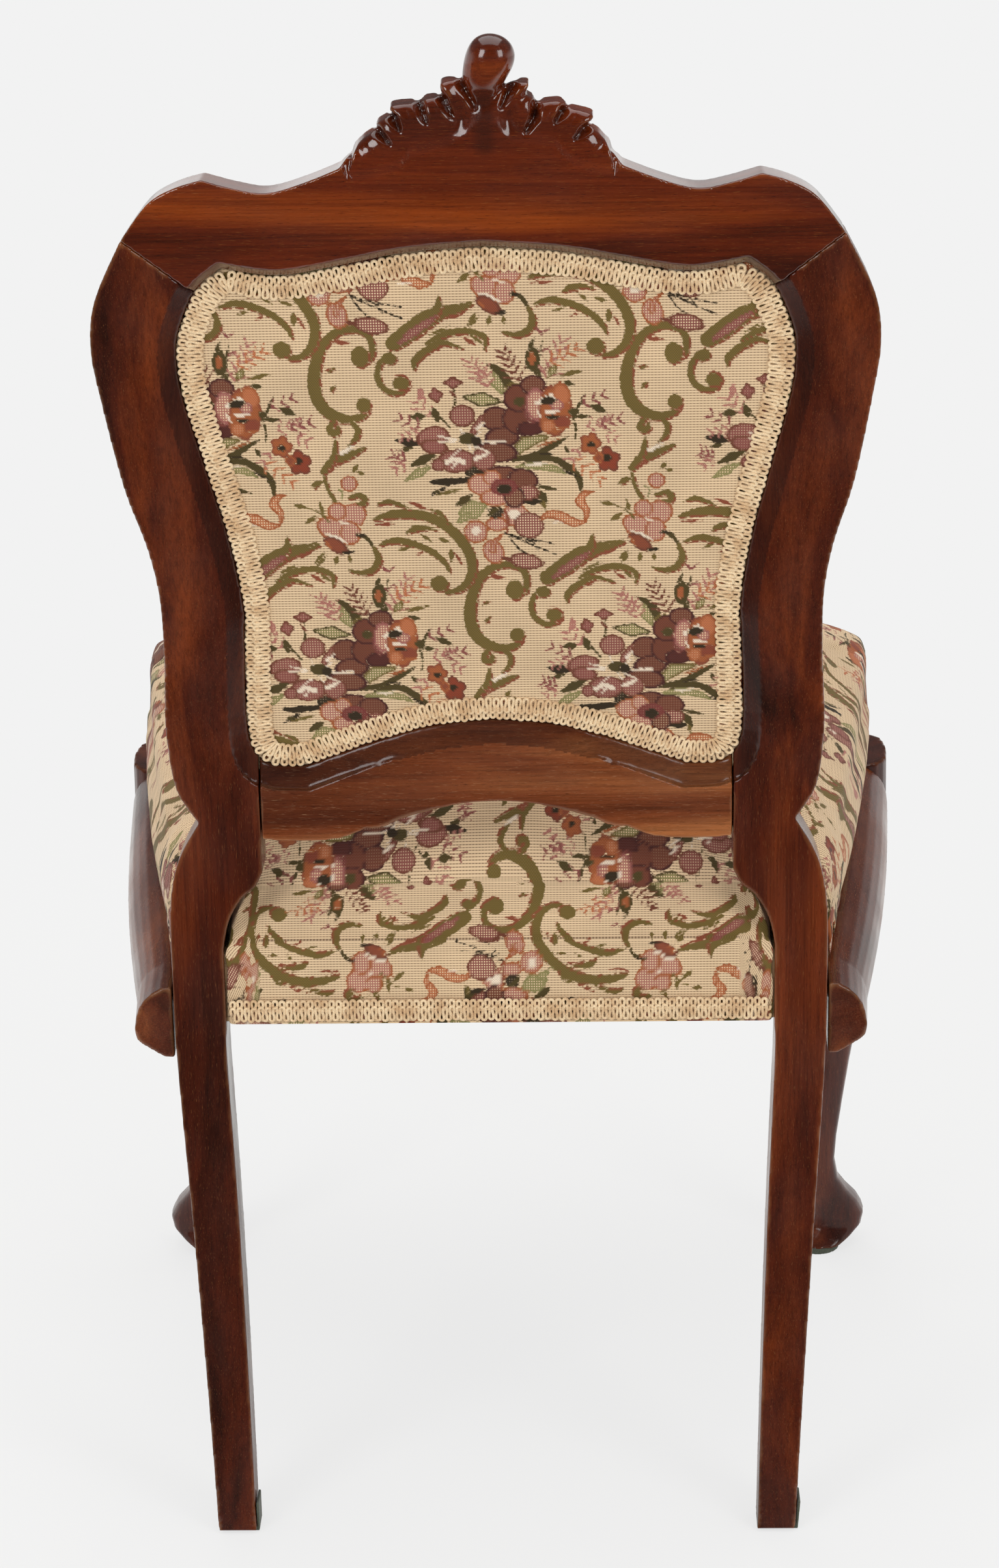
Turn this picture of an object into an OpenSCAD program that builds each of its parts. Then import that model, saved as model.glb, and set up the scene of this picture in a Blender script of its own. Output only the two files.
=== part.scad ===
// Balloon back side chair: a shaped and carved back frame on sabre rear legs, cabriole
// front legs, bowed rails, a sprung and stuffed seat and an upholstered back panel.
// Millimetres, +Z up, the front faces -Y and the sitter's left is +X. The origin is on
// the floor, under the middle of the chair.

/* [Back frame] */
// Height of the notch between the back and the lobe of the rear leg, above the seat rails
notch_up = 114; // [109:1:121]
// Height of the back, from that notch to the two shoulder points of the crest rail
back_h = 427; // [415:1:435]
// Height of the finial above the shoulder points
finial_h = 82; // [75:1:90]
// Distance between the shoulder points
ear_w = 325; // [310:1:340]
// Width across the widest part of the back
back_w = 469; // [455:1:490]
// Thickness of the leaning back frame, front to back
frame_t = 30; // [28:0.5:34]
// Lean of the back, in degrees
rake = 13; // [9:0.5:15]
// Height above the seat rails at which the back starts to lean
bend_up = 88; // [75:1:98]
// Radius of the bend from upright to leaning
rake_r = 500; // [400:5:600]

/* [Back opening] */
// Width of a stile beside the widest part of the opening
side_w = 44; // [41:0.5:47]
// Height of the crest rail between the opening and its shoulder points
crest_d = 38; // [34:1:44]
// Height of the two lowest points of the opening above the notch
sill_up = 22.5; // [19:0.5:27]
// Depth of the bevel round the opening, on the rear and on the front
lip_d = 6; // [4:0.5:8]
// Width of that bevel along the sides
lip_w = 6; // [4:0.5:8]
// Depth of the rear rebate that takes the cover and the braid
rebate_d = 11; // [9:0.5:13]
// Width of the ledge that carries the cloth and the braid
ledge_w = 15; // [12:0.5:18]

/* [Lower back rail] */
// How much the stiles widen inwards, from the seat up to the lower back rail
neck_in = 27; // [24:1:30]
// How far the ends of that rail reach below the notch
rail_drop = 13; // [9:1:19]
// Rise of the arch under that rail
arch_h = 29; // [22:1:34]
// Length of each tenon on that rail
tenon_l = 18; // [14:1:20]
// Thickness of each tenon
tenon_t = 10; // [8:0.5:12]

/* [Rear legs] */
// Outside width of the two rear legs at the seat
hip_w = 424; // [420:1:428]
// Width of one rear leg at the seat
leg_w = 34; // [32:0.5:36]
// How far the rear feet stand in from the outside of the legs at the seat
toe_in = 20.5; // [14:0.5:27]
// Width of one rear foot
foot_side = 25; // [22:0.5:30]
// Depth of one rear foot, front to back
foot_t = 27; // [24:0.5:30]
// Depth of the rear leg at the seat
hip_t = 34; // [32:0.5:36]
// How far the rear feet stand behind the seat
splay = 60; // [40:1:75]
// Height above the seat rails at which the rear leg is upright
splay_up = 33; // [20:1:45]

/* [Seat frame] */
// Depth of the seat frame, from the rear legs' rear face to its front edge
seat_d = 440; // [430:1:460]
// Height of the top edge of the shaped rails, at the rear
seat_z = 367; // [362:1:372]
// Rise of the seat frame towards the front, in degrees
seat_slope = 4.5; // [3:0.25:5.5]
// Width over the hidden side rails at the front legs
front_w = 506; // [500:1:516]
// Thickness of the hidden rails
rail_t = 22; // [19:0.5:25]
// How far the hidden rails stand above the shaped rails
rail_up = 22; // [18:1:26]
// How far the hidden rails reach below the top edge of the shaped rails
rail_down = 25; // [23:1:27]
// Height of the shaped rails
shape_h = 50; // [46:1:54]
// Thickness of the shaped rails at their fullest
shape_t = 25.4; // [23:0.2:28]
// How far the front rail bows forward of its ends
bow = 20; // [14:1:26]

/* [Front legs] */
// Width of the square at the top of the front leg
block_w = 36; // [34:0.5:40]
// How far the centres of the front feet stand in from the outside of the side rails
front_foot_in = 22; // [16:0.5:28]
// How far they stand behind the front edge of the seat frame
front_foot_back = 69; // [62:1:76]
// Radius of the felt disc under a front foot
disc_r = 17; // [14:0.5:18]
// Thickness of that felt disc
disc_t = 4; // [3:0.5:5]
// Thickness of the felt under a rear foot
pad_t = 2.5; // [2:0.25:4]

/* [Upholstery] */
// Height of the shoulder of the seat cushion above the shaped rails, at the front
cushion_front_h = 92; // [84:1:98]
// Height of that shoulder at the rear
cushion_rear_h = 62; // [56:1:68]
// Rise of the crown of the seat above its shoulder
crown = 42; // [30:1:50]
// How far the sides of the cushion swell beyond the rails
swell = 18; // [12:1:20]
// How far the rear of the cushion rolls forward over its height
rear_roll = 24; // [14:1:30]
// Rise of the front pad of the back beyond the frame
pad_rise = 20; // [14:1:26]
// Thickness of the outside cover of the back
cover_t = 2.5; // [2:0.25:3]
// Thickness of the cloth skirt over the rear rail
skirt_t = 2.8; // [2.2:0.1:3.2]
// Width of the braid
braid_w = 16; // [13:0.5:17]
// Thickness of the braid
braid_t = 2.2; // [1.8:0.1:2.4]
// Width of one jute strap
web_w = 50; // [44:1:54]
// Thickness of one jute strap
web_t = 1.3; // [1:0.1:1.5]
// Wire diameter of the seat springs
wire_d = 3.2; // [2.6:0.1:3.6]
// Height of the top of the springs above the shaped rails
spring_top = 58; // [52:1:62]

/* [Hidden] */

// Points on each stretch of a smooth outline
steps = 4;
// Overrun of every cut
over = 2;
// Clearance of dowels, tenons and screws in their holes, at the radius
fit = 0.1;
// Clearance between cloth and wood
ease = 0.3;

walnut = [0.40, 0.19, 0.10];
beech = [0.76, 0.60, 0.42];
steel = [0.62, 0.62, 0.64];
jute = [0.66, 0.53, 0.36];
cloth = [0.82, 0.74, 0.60];
braid = [0.77, 0.62, 0.46];
felt = [0.22, 0.24, 0.18];
black_cloth = [0.16, 0.15, 0.15];

// A smooth line through hand-set points

function mix(a, b, t) = a + (b - a) * t;
function curve(a, b, c, d, t) = 0.5 * (2 * b + (c - a) * t + (2 * a - 5 * b + 4 * c - d) * t * t
    + (3 * b - a - 3 * c + d) * t * t * t);
function smooth(p) = [for (i = [0 : len(p) - 2], k = [0 : steps - 1])
    curve(p[max(i - 1, 0)], p[i], p[i + 1], p[min(i + 2, len(p) - 1)], k / steps)];
function flip(p) = [for (i = [len(p) - 1 : -1 : 0]) [-p[i][0], p[i][1]]];
function drop_last(p) = [for (i = [0 : len(p) - 2]) p[i]];
function turned(p) = [for (i = [len(p) - 1 : -1 : 0]) p[i]];

// Heights above the floor and widths that follow from the sizes above
cusp_h = seat_z + notch_up;
ear_h = cusp_h + back_h;
total_h = ear_h + finial_h;
rake_z = seat_z + bend_up;
splay_z = seat_z + splay_up;
open_top = ear_h - crest_d;
open_low = cusp_h + sill_up;
open_w = back_w - 2 * side_w;
gap_w = hip_w - 2 * leg_w;
rail_w = gap_w - 2 * neck_in;
rail_low = cusp_h - rail_drop;
rail_arch = rail_low + arch_h;
foot_w = hip_w - 2 * toe_in;
front_feet_y = seat_d - front_foot_back;

// Side view of the rear legs and back: how far the rear face lies behind the seat

bend_end = rake_z + rake_r * sin(rake);
function rear_at(z) =
    z < splay_z ? splay * pow((splay_z - z) / splay_z, 2) :
    z < rake_z ? 0 :
    z < bend_end ? rake_r - sqrt(pow(rake_r, 2) - pow(z - rake_z, 2)) :
    rake_r * (1 - cos(rake)) + (z - bend_end) * tan(rake);
level_t = frame_t / cos(rake);
function depth_at(z) =
    z < splay_z ? mix(foot_t, hip_t, z / splay_z) :
    z < cusp_h ? hip_t :
    z < bend_end ? mix(hip_t, level_t, (z - cusp_h) / (bend_end - cusp_h)) : level_t;
leg_bands = 8;
bend_bands = 5;
band_z = concat([for (i = [0 : leg_bands]) splay_z * i / leg_bands], [rake_z, cusp_h],
    [for (i = [1 : bend_bands]) mix(cusp_h, bend_end, i / bend_bands)], [total_h + over]);
side_band = concat([for (z = band_z) [rear_at(z), z]],
    [for (z = turned(band_z)) [rear_at(z) - depth_at(z), z]]);

// The carved finial sets how far the chair reaches to the rear, the front rail how far
// to the front; the chair stands midway on the origin

knob_r = 14;
knob_lean = 7.5;
knob_z = total_h - knob_r;
knob_y = rear_at(knob_z) - level_t / 2;
full_share = 0.6;
rear_reach = knob_y + knob_r;
front_reach = seat_d * cos(seat_slope) + full_share * shape_h * sin(seat_slope);
chair_y = (front_reach - rear_reach) / 2;

module placed() {
    translate([0, chair_y, 0]) children();
}
module mirrored_pair() {
    children();
    mirror([1, 0, 0]) children();
}

// Front view of the back frame, from the notch above the leg to the shoulder points

function back_pt(s) = [s[0] * back_w / 2, cusp_h + s[1] * (ear_h - cusp_h)];
mitre_out_share = [0.903, 0.915];
stile_share = [mitre_out_share, [0.98, 0.828], [1, 0.757], [0.985, 0.68], [0.944, 0.545],
    [0.895, 0.447], [0.873, 0.36], [0.8755, 0.26], [0.885, 0.155], [0.868, 0.056], [0.811, 0]];
stile_outer = smooth([for (s = stile_share) back_pt(s)]);
cusp_pt = back_pt(stile_share[len(stile_share) - 1]);

// The lobe below the notch swells to the leg's full width
lobe_share = [[0, 0], [0.48, 0.216], [0.78, 0.42], [0.957, 0.69], [1, 1]];
lobe_low = splay_z;
lobe = smooth([for (s = lobe_share)
    [mix(cusp_pt[0], hip_w / 2, s[0]), mix(cusp_pt[1], lobe_low, s[1])]]);

// The leg narrows and draws in towards the foot
leg_out_share = [[0, 1], [0, 0.94], [0.05, 0.78], [0.39, 0.49], [1, 0]];
leg_outer = concat(smooth([for (s = leg_out_share)
    [mix(hip_w / 2, foot_w / 2, s[0]), mix(pad_t, lobe_low, s[1])]]), [[foot_w / 2, pad_t]]);
shoulder_z = seat_z - rail_down - 2 * over;
foot_in = foot_w / 2 - foot_side;
leg_in_share = [[0, 1], [-0.03, 0.93], [0.39, 0.587], [1, 0]];
leg_inner = concat([[foot_in, pad_t]], turned(smooth([for (s = leg_in_share)
    [mix(gap_w / 2, foot_in, s[0]), mix(pad_t, shoulder_z, s[1])]])));

// Above the seat the inner edge swings in to the shoulder of the lower back rail
neck_low_share = 0.05;
neck_z = rail_low - back_h * neck_low_share;
waist_z = rail_up + seat_z + rail_t / 4;
neck_share = [[0, 0], [0.19, 0.19], [0.52, 0.34], [0.85, 0.64], [1, 1]];
neck = turned(smooth([for (s = neck_share)
    [mix(rail_w / 2, gap_w / 2, s[0]), mix(neck_z, waist_z, s[1])]]));

// The top of the crest: shoulder, dip, then up to the carving
shoulder_share = [[0, 1], [0.34, 0.86], [0.66, 0.6], [1, 0]];
ear_pt = [ear_w / 2, ear_h];
mitre_pt = back_pt(mitre_out_share);
crest_outer = smooth([for (s = turned(shoulder_share))
    [mix(ear_pt[0], mitre_pt[0], s[0]), mix(mitre_pt[1], ear_pt[1], s[1])]]);
carve_w = 154;
carve_up = 8;
carve_base = ear_h + carve_up;
dip_d = 8.5;
dip = smooth([ear_pt, [mix(ear_pt[0], carve_w / 2, 0.22), ear_h - dip_d * 0.65],
    [mix(ear_pt[0], carve_w / 2, 0.44), ear_h - dip_d],
    [mix(ear_pt[0], carve_w / 2, 0.7), mix(ear_h, carve_base, -0.3)],
    [carve_w / 2, carve_base]]);

// Silhouette of the carved leaves, from the base of the carving to the neck of the finial
carve_h = total_h - carve_base;
carve_share = [[0.985, 0.07], [0.93, 0.17], [0.86, 0.225], [0.79, 0.27], [0.825, 0.345], [0.72, 0.38],
    [0.64, 0.395], [0.655, 0.46], [0.54, 0.475], [0.425, 0.47], [0.4, 0.51], [0.33, 0.53],
    [0.3, 0.52], [0.335, 0.575], [0.345, 0.63], [0.26, 0.625], [0.16, 0.62]];
carving = [for (s = carve_share) [s[0] * carve_w / 2, carve_base + s[1] * carve_h]];
crest_half = concat(crest_outer, dip, carving);

// The opening, as shares of its half width and its height
open_h = open_top - open_low;
function open_pt(s) = [s[0] * open_w / 2, open_low + s[1] * open_h];
sill_share = [[0, 0.0887], [0.184, 0.079], [0.341, 0.056], [0.472, 0.0314], [0.63, 0]];
jamb_share = [[0.63, 0], [0.814, 0.0136], [0.861, 0.1], [0.845, 0.263], [0.84, 0.345],
    [0.871, 0.46], [0.908, 0.544], [0.955, 0.645], [0.992, 0.7325], [1, 0.8], [0.982, 0.853],
    [0.919, 0.9236], [0.819, 0.9686]];
head_share = [[0.819, 0.9686], [0.688, 0.956], [0.593, 0.956], [0.446, 0.97], [0.241, 0.99], [0, 1]];
// How much wider the bevel is than on the sides, point by point
sill_lip_share = [2, 2, 2, 2, 2];
jamb_lip_share = [2, 2.2, 1.3, 1, 1, 1, 1, 1, 1, 1, 1, 1, 1.2];
head_lip_share = [1.2, 1.1, 1.1, 1.1, 1.1, 1.1];

// Points moved in from the edge along the inward direction at each point
function inward(p, i) = let (a = p[max(i - 1, 0)], b = p[min(i + 1, len(p) - 1)], d = b - a)
    [-d[1], d[0]] / norm(d);
half_share = concat(sill_share, drop_last([for (i = [1 : len(jamb_share) - 1]) jamb_share[i]]),
    head_share);
half_lip_share = concat(sill_lip_share,
    drop_last([for (i = [1 : len(jamb_share) - 1]) jamb_lip_share[i]]), head_lip_share);
half_pts = [for (s = half_share) open_pt(s)];
mid_i = len(sill_share) - 1;
corner_i = mid_i + len(jamb_share) - 1;
function sub(p, a, b) = [for (i = [a : b]) p[i]];
function half_in(lip, extra) = [for (i = [0 : len(half_pts) - 1]) let (n = inward(half_pts, i),
    d = lip * half_lip_share[i] + extra)
    i == 0 || i == len(half_pts) - 1 ? half_pts[i] + [0, (i == 0 ? d : -d)] : half_pts[i] + n * d];
function ring_of(h) = concat(smooth(sub(h, 0, mid_i)), smooth(sub(h, mid_i, corner_i)),
    smooth(sub(h, corner_i, len(h) - 1)));
function whole(h) = let (r = ring_of(h)) concat(r, [h[len(h) - 1]],
    turned([for (i = [1 : len(r) - 1]) [-r[i][0], r[i][1]]]));
function opening(lip, extra) = whole(half_in(lip, extra));
edge_line = opening(0, 0);
bevel_line = opening(lip_w, 0);
sight_line = opening(lip_w, ledge_w);

// The flat of the leaning back: x, distance ahead of its rear face, height up the slope

module in_back() {
    translate([0, rear_at(bend_end), bend_end]) rotate([-rake, 0, 0]) children();
}
function up(p) = [p[0], (p[1] - bend_end) / cos(rake)];
function ups(l) = [for (p = l) up(p)];
module slab(l, y_rear, y_front) {
    translate([0, y_rear, 0]) rotate([90, 0, 0]) linear_extrude(y_rear - y_front) polygon(ups(l));
}
// A closed skin over a row of like sections
module skin(rows) {
    n = len(rows[0]);
    r = len(rows);
    pts = [for (row = rows, p = row) p];
    sides = [for (a = [0 : r - 2], i = [0 : n - 1], k = [0, 1]) let (j = (i + 1) % n)
        k == 0 ? [a * n + i, a * n + j, (a + 1) * n + i]
            : [a * n + j, (a + 1) * n + j, (a + 1) * n + i]];
    ends = [[for (i = [n - 1 : -1 : 0]) i], [for (i = [0 : n - 1]) (r - 1) * n + i]];
    polyhedron(points = pts, faces = concat(sides, ends));
}

// A cut with sloping sides through rings, each an outline and its place front to back
module ring_cut(rings) {
    inwards = rings[0][1] > rings[1][1];
    skin([for (ring = rings)
        let (row = [for (p = ring[0]) let (u = up(p)) [u[0], ring[1], u[1]]]) inwards ? turned(row) : row]);
}
function spread(a, b, t) = [for (i = [0 : len(a) - 1]) mix(a[i], b[i], t)];
wide_line = spread(edge_line, bevel_line, -over / lip_d);
module opening_cut() {
    in_back() {
        slab(sight_line, frame_t, -2 * frame_t);
        ring_cut([[wide_line, over], [bevel_line, -lip_d], [bevel_line, -rebate_d]]);
        ring_cut([[wide_line, -frame_t - over], [bevel_line, lip_d - frame_t]]);
    }
}

module front_extrude(l) {
    translate([0, back_w / 2, 0]) rotate([90, 0, 0]) linear_extrude(back_w) polygon(l);
}
module band() {
    translate([-back_w, 0, 0]) rotate([90, 0, 90]) linear_extrude(2 * back_w) polygon(side_band);
}

// The joint between stile and crest runs from the outer edge into the opening

mitre_in = open_pt(jamb_share[len(jamb_share) - 2]);
mitre_dir = (mitre_pt - mitre_in) / norm(mitre_pt - mitre_in);
mitre_share = 1.6;
mitre_near = mitre_in - mitre_dir * (lip_w + ledge_w) * mitre_share;
// Stile and lower rail meet above the lowest points of the opening
jamb_x = open_pt(jamb_share[0])[0];
joint_share = 1.25;
joint_top = open_low + (rail_arch - rail_low) * joint_share;

dowel_r = 4;
dowel_l = 32;
dowel_at_share = [0.24, 0.72];
module crest_dowel_set(r, l) {
    for (s = dowel_at_share) {
        p = mix(mitre_in, mitre_pt, s);
        a = atan2(mitre_dir[1], mitre_dir[0]) + 90;
        translate([p[0], rear_at(p[1]) - level_t / 2, p[1]]) rotate([-rake, 0, 0])
            rotate([0, 90 - a, 0]) cylinder(h = l, r = r, center = true, $fn = 24);
    }
}

// Foot and height of those tenons
tenon_share = [0.2, 1.2];
tenon_low = rail_low + (rail_arch - rail_low) * tenon_share[0];
tenon_h = (rail_arch - rail_low) * tenon_share[1];
module tenons(grow) {
    mid_y = rear_at(tenon_low) - depth_at(tenon_low) / 2;
    mirrored_pair() translate([rail_w / 2 - over, mid_y - tenon_t / 2 - grow, tenon_low - grow])
        cube([tenon_l + over + grow, tenon_t + 2 * grow, tenon_h + 2 * grow]);
}

module stile() {
    outline = concat(stile_outer, lobe, leg_outer, leg_inner, [[gap_w / 2, waist_z]],
        neck, [[rail_w / 2, joint_top], [jamb_x, joint_top], [jamb_x, mitre_near[1]], mitre_near]);
    difference() {
        intersection() {
            front_extrude(outline);
            band();
        }
        opening_cut();
        tenons(fit);
        crest_dowel_set(dowel_r + fit, dowel_l + over);
        rear_rail_tenons(fit);
        rail_dowel_set(rail_dowel_r + fit, rail_dowel_l + over);
    }
}
module left_stile() {
    color(walnut) placed() stile();
}
module right_stile() {
    color(walnut) placed() mirror([1, 0, 0]) stile();
}

// The finial is pear-shaped: a round head on a neck that runs down between the leaves
// Radius, drop and lean of the neck and of its root
neck_ball_share = [0.7, 1, 0.8];
root_ball_share = [0.7, 2.3, 0.4];
module ball(share) {
    z = knob_z - share[1] * knob_r;
    translate([-share[2] * knob_lean, rear_at(z) - level_t / 2, z]) sphere(r = share[0] * knob_r, $fn = 32);
}
module finial() {
    hull() {
        ball([1, 0, 1]);
        ball(neck_ball_share);
    }
    hull() {
        ball(neck_ball_share);
        ball(root_ball_share);
    }
}
// The leaves fall away from a gable line on the face towards their outline, on both faces
gable_turn = 18.4;
gable_tilt = 22;
gable_low = 2.6;
gable_share = 0.62;
gable_l = carve_w * gable_share;
module leaf_slope() {
    translate([carve_w / 2, 0, up([0, ear_h - gable_low])[1]]) rotate([0, gable_turn, 0])
        rotate([gable_tilt, 0, 0]) translate([-gable_l, 0, 0]) cube([gable_l, frame_t, carve_h * 2]);
}
module leaf_slopes() {
    in_back() mirrored_pair() {
        leaf_slope();
        translate([0, -frame_t, 0]) mirror([0, 1, 0]) leaf_slope();
    }
}
module crest_rail() {
    outline = concat(crest_half, flip(crest_half), [[-mitre_near[0], mitre_near[1]], mitre_near]);
    color(walnut) placed() difference() {
        union() {
            difference() {
                intersection() {
                    front_extrude(outline);
                    band();
                }
                leaf_slopes();
            }
            finial();
        }
        opening_cut();
        mirrored_pair() crest_dowel_set(dowel_r + fit, dowel_l + over);
    }
}
module crest_dowels() {
    color(beech) placed() mirrored_pair() crest_dowel_set(dowel_r, dowel_l);
}

under_share = [[0.5, 0.05], [0.4, 0], [0.32, 0.1], [0.265, 0.41], [0.205, 0.76], [0.12, 0.93], [0, 1]];
module lower_back_rail() {
    under = smooth([for (s = under_share)
        [s[0] * rail_w, mix(rail_low, rail_arch, s[1])]]);
    outline = concat([[rail_w / 2, joint_top]], under, [[0, rail_arch]], flip(under),
        [[-rail_w / 2, joint_top]]);
    color(walnut) placed() {
        difference() {
            union() {
                intersection() {
                    front_extrude(outline);
                    band();
                }
                tenons(0);
            }
            opening_cut();
        }
    }
}

// The seat frame lies in a plane that rises towards the front: its own x, y and z

module in_seat() {
    translate([0, 0, seat_z]) rotate([-seat_slope, 0, 0]) children();
}
leg_y = -hip_t;
front_in = seat_d - shape_t - bow;
block_back = front_in - block_w;
rail_stand = 1;
hip_out = hip_w / 2 + rail_stand;
function side_x(y) = mix(hip_out, front_w / 2, (leg_y - y) / (block_back + leg_y));
rear_rail_y = -skirt_t - braid_t - ease;

module rear_rail_tenons(grow) {
    h = rail_up + rail_down;
    translate([-gap_w / 2 - tenon_l, rear_rail_y - rail_t / 2 - tenon_t / 2 - grow,
        seat_z - rail_down + h / 4 - grow])
        cube([gap_w + 2 * tenon_l, tenon_t + 2 * grow, h / 2 + 2 * grow]);
}
module rear_seat_rail() {
    color(beech) placed() {
        intersection() {
            translate([-gap_w / 2, rear_rail_y - rail_t, 0]) cube([gap_w, rail_t, seat_z * 2]);
            in_seat() translate([-gap_w, -seat_d, -rail_down])
                cube([gap_w * 2, seat_d * 2, rail_up + rail_down]);
        }
        translate([over, 0, 0]) intersection() {
            rear_rail_tenons(0);
            translate([-gap_w / 2 - tenon_l, -seat_d, 0])
                cube([gap_w + 2 * (tenon_l - over), seat_d, seat_z * 2]);
        }
    }
}

dowel_y_share = [0.25, 0.75];
module rail_dowel_set(r, l) {
    h = rail_up + rail_down;
    in_seat() {
        for (s = dowel_y_share) {
            z = s * h - rail_down;
            translate([side_x(-block_back) - rail_t / 2, -block_back, z]) rotate([90, 0, 0])
                cylinder(h = l, r = r, center = true, $fn = 24);
            translate([front_w / 2 - block_w, -front_in + rail_t / 2, z]) rotate([0, 90, 0])
                cylinder(h = l, r = r, center = true, $fn = 24);
        }
    }
    for (s = dowel_y_share)
        translate([hip_out - rail_t / 2, leg_y, seat_z + rail_up / 4 + (s - 0.5) * h / 2])
            rotate([90, 0, 0]) cylinder(h = l, r = r, center = true, $fn = 24);
}
rail_dowel_r = 3.5;
rail_dowel_l = 26;
module rail_dowels() {
    color(beech) placed() mirrored_pair() rail_dowel_set(rail_dowel_r, rail_dowel_l);
}

module side_seat_rail() {
    y0 = leg_y + over;
    plan = [[side_x(y0), y0], [side_x(-block_back), -block_back],
        [side_x(-block_back) - rail_t, -block_back], [side_x(y0) - rail_t, y0]];
    difference() {
        in_seat() translate([0, 0, -rail_down]) linear_extrude(rail_up + rail_down) polygon(plan);
        translate([0, leg_y, 0]) cube([hip_w, splay, seat_z * 2]);
        rail_dowel_set(rail_dowel_r + fit, rail_dowel_l + over);
        screw_set(screw_r + fit, over);
    }
}
module left_seat_rail() {
    color(beech) placed() side_seat_rail();
}
module right_seat_rail() {
    color(beech) placed() mirror([1, 0, 0]) side_seat_rail();
}

// Plan of the front: a shallow bow between the leg squares
bow_n = 12;
front_x = front_w / 2 - block_w;
function front_y(x) = -front_in - bow * pow(cos(90 * x / front_x), 2);
front_line = [for (i = [0 : bow_n]) let (x = front_x * (2 * i / bow_n - 1)) [x, front_y(x)]];
module front_seat_rail() {
    plan = concat(front_line, [[front_x, rail_t - front_in], [-front_x, rail_t - front_in]]);
    color(beech) placed() difference() {
        in_seat() translate([0, 0, -rail_down]) linear_extrude(rail_up + rail_down) polygon(plan);
        mirrored_pair() {
            rail_dowel_set(rail_dowel_r + fit, rail_dowel_l + over);
            screw_set(screw_r + fit, over);
        }
    }
}

// Section of the shaped rails: flat inside, full outside, drawn in underneath
shape_share = [[0, 0], [0.256, 0], [0.53, -0.083], [0.73, -0.177], [0.866, -0.29], [0.953, -0.43],
    [1, -0.6], [0.965, -0.73], [0.858, -0.79], [0.27, -0.99], [0, -1]];
side_n = 9;
side_swell = 6;
module rail_facing() {
    rows = [for (i = [0 : side_n]) let (y = -block_back * i / side_n,
        x = y > leg_y ? hip_out : side_x(y),
        t = shape_t + side_swell * sin(180 * i / side_n))
        [for (s = shape_share) [x + s[0] * t, y, s[1] * shape_h]]];
    difference() {
        in_seat() skin(rows);
        pin_set(pin_r + fit, over);
    }
}
module left_rail_facing() {
    color(walnut) placed() rail_facing();
}
module right_rail_facing() {
    color(walnut) placed() mirror([1, 0, 0]) rail_facing();
}
module front_rail_facing() {
    rows = [for (p = front_line)
        [for (s = turned(shape_share)) [p[0], p[1] - s[0] * shape_t, s[1] * shape_h]]];
    color(walnut) placed() in_seat() skin(rows);
}

// Two cut pins in the end grain of each side facing
pin_r = 1;
pin_l = 22;
pin_share = [[0.45, -0.34], [0.5, -0.72]];
module pin_set(r, grow) {
    in_seat() for (s = pin_share)
        translate([hip_out + s[0] * shape_t, grow, s[1] * shape_h]) rotate([90, 0, 0])
            cylinder(h = pin_l + 2 * grow, r = r, $fn = 16);
}
module facing_pins() {
    color(steel) placed() mirrored_pair() translate([0, -fit, 0]) pin_set(pin_r, 0);
}

// Front leg: height, shift along both outward axes, half width, all as shares of the knee
block_ease = block_w / 4;
foot_x = front_w / 2 - front_foot_in;
knee_a = 31;
leg_h = seat_z + tan(seat_slope) * (block_back + block_w / 2);
leg_share = [[0.0102, 0.03, 0.55], [0.022, 0.24, 0.6], [0.042, 0.44, 0.67], [0.065, 0.5, 0.68],
    [0.09, 0.4, 0.62], [0.118, 0.22, 0.53], [0.148, 0.07, 0.44], [0.19, 0, 0.41], [0.24, 0.04, 0.42],
    [0.31, 0.14, 0.455], [0.39, 0.26, 0.5], [0.5, 0.42, 0.6], [0.63, 0.56, 0.71],
    [0.75, 0.62, 0.83], [0.86, 0.6, 0.93], [0.93, 0.56, 1], [1, 0.55, 1]];
round_n = 20;
function corner_round(a) = let (k = 2 / 3.2) [sign(cos(a)) * pow(abs(cos(a)), k),
    sign(sin(a)) * pow(abs(sin(a)), k)];
module front_leg() {
    rows = [for (k = [0 : len(leg_share) - 1]) let (s = leg_share[k], c = s[1] * knee_a, h = s[2] * knee_a)
        [for (i = [0 : round_n - 1]) let (q = corner_round(-360 * i / round_n),
            x = foot_x + c + q[0] * h, y = -front_feet_y - c + q[1] * h,
            z = k == len(leg_share) - 1 ? seat_z - y * tan(seat_slope) + over : max(disc_t, s[0] * leg_h))
            [x, y, z]]];
    difference() {
        union() {
            difference() {
                skin(rows);
                in_seat() {
                    translate([0, -seat_d * 2, 0]) cube([seat_d, seat_d * 2, seat_d]);
                    translate([0, -block_back, -shape_h - over]) cube([seat_d, seat_d, seat_d]);
                    translate([0, -seat_d * 2, -shape_h - over]) cube([front_x, seat_d * 2, seat_d]);
                }
            }
            in_seat() translate([0, 0, -rail_down]) linear_extrude(rail_down + rail_up)
                polygon([[front_x, -block_back], [front_x, -front_in],
                    [front_w / 2 - block_ease, -front_in], [front_w / 2, block_ease - front_in],
                    [front_w / 2, -block_back]]);
        }
        rail_dowel_set(rail_dowel_r + fit, rail_dowel_l + over);
    }
}
module left_front_leg() {
    color(walnut) placed() front_leg();
}
module right_front_leg() {
    color(walnut) placed() mirror([1, 0, 0]) front_leg();
}

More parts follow.
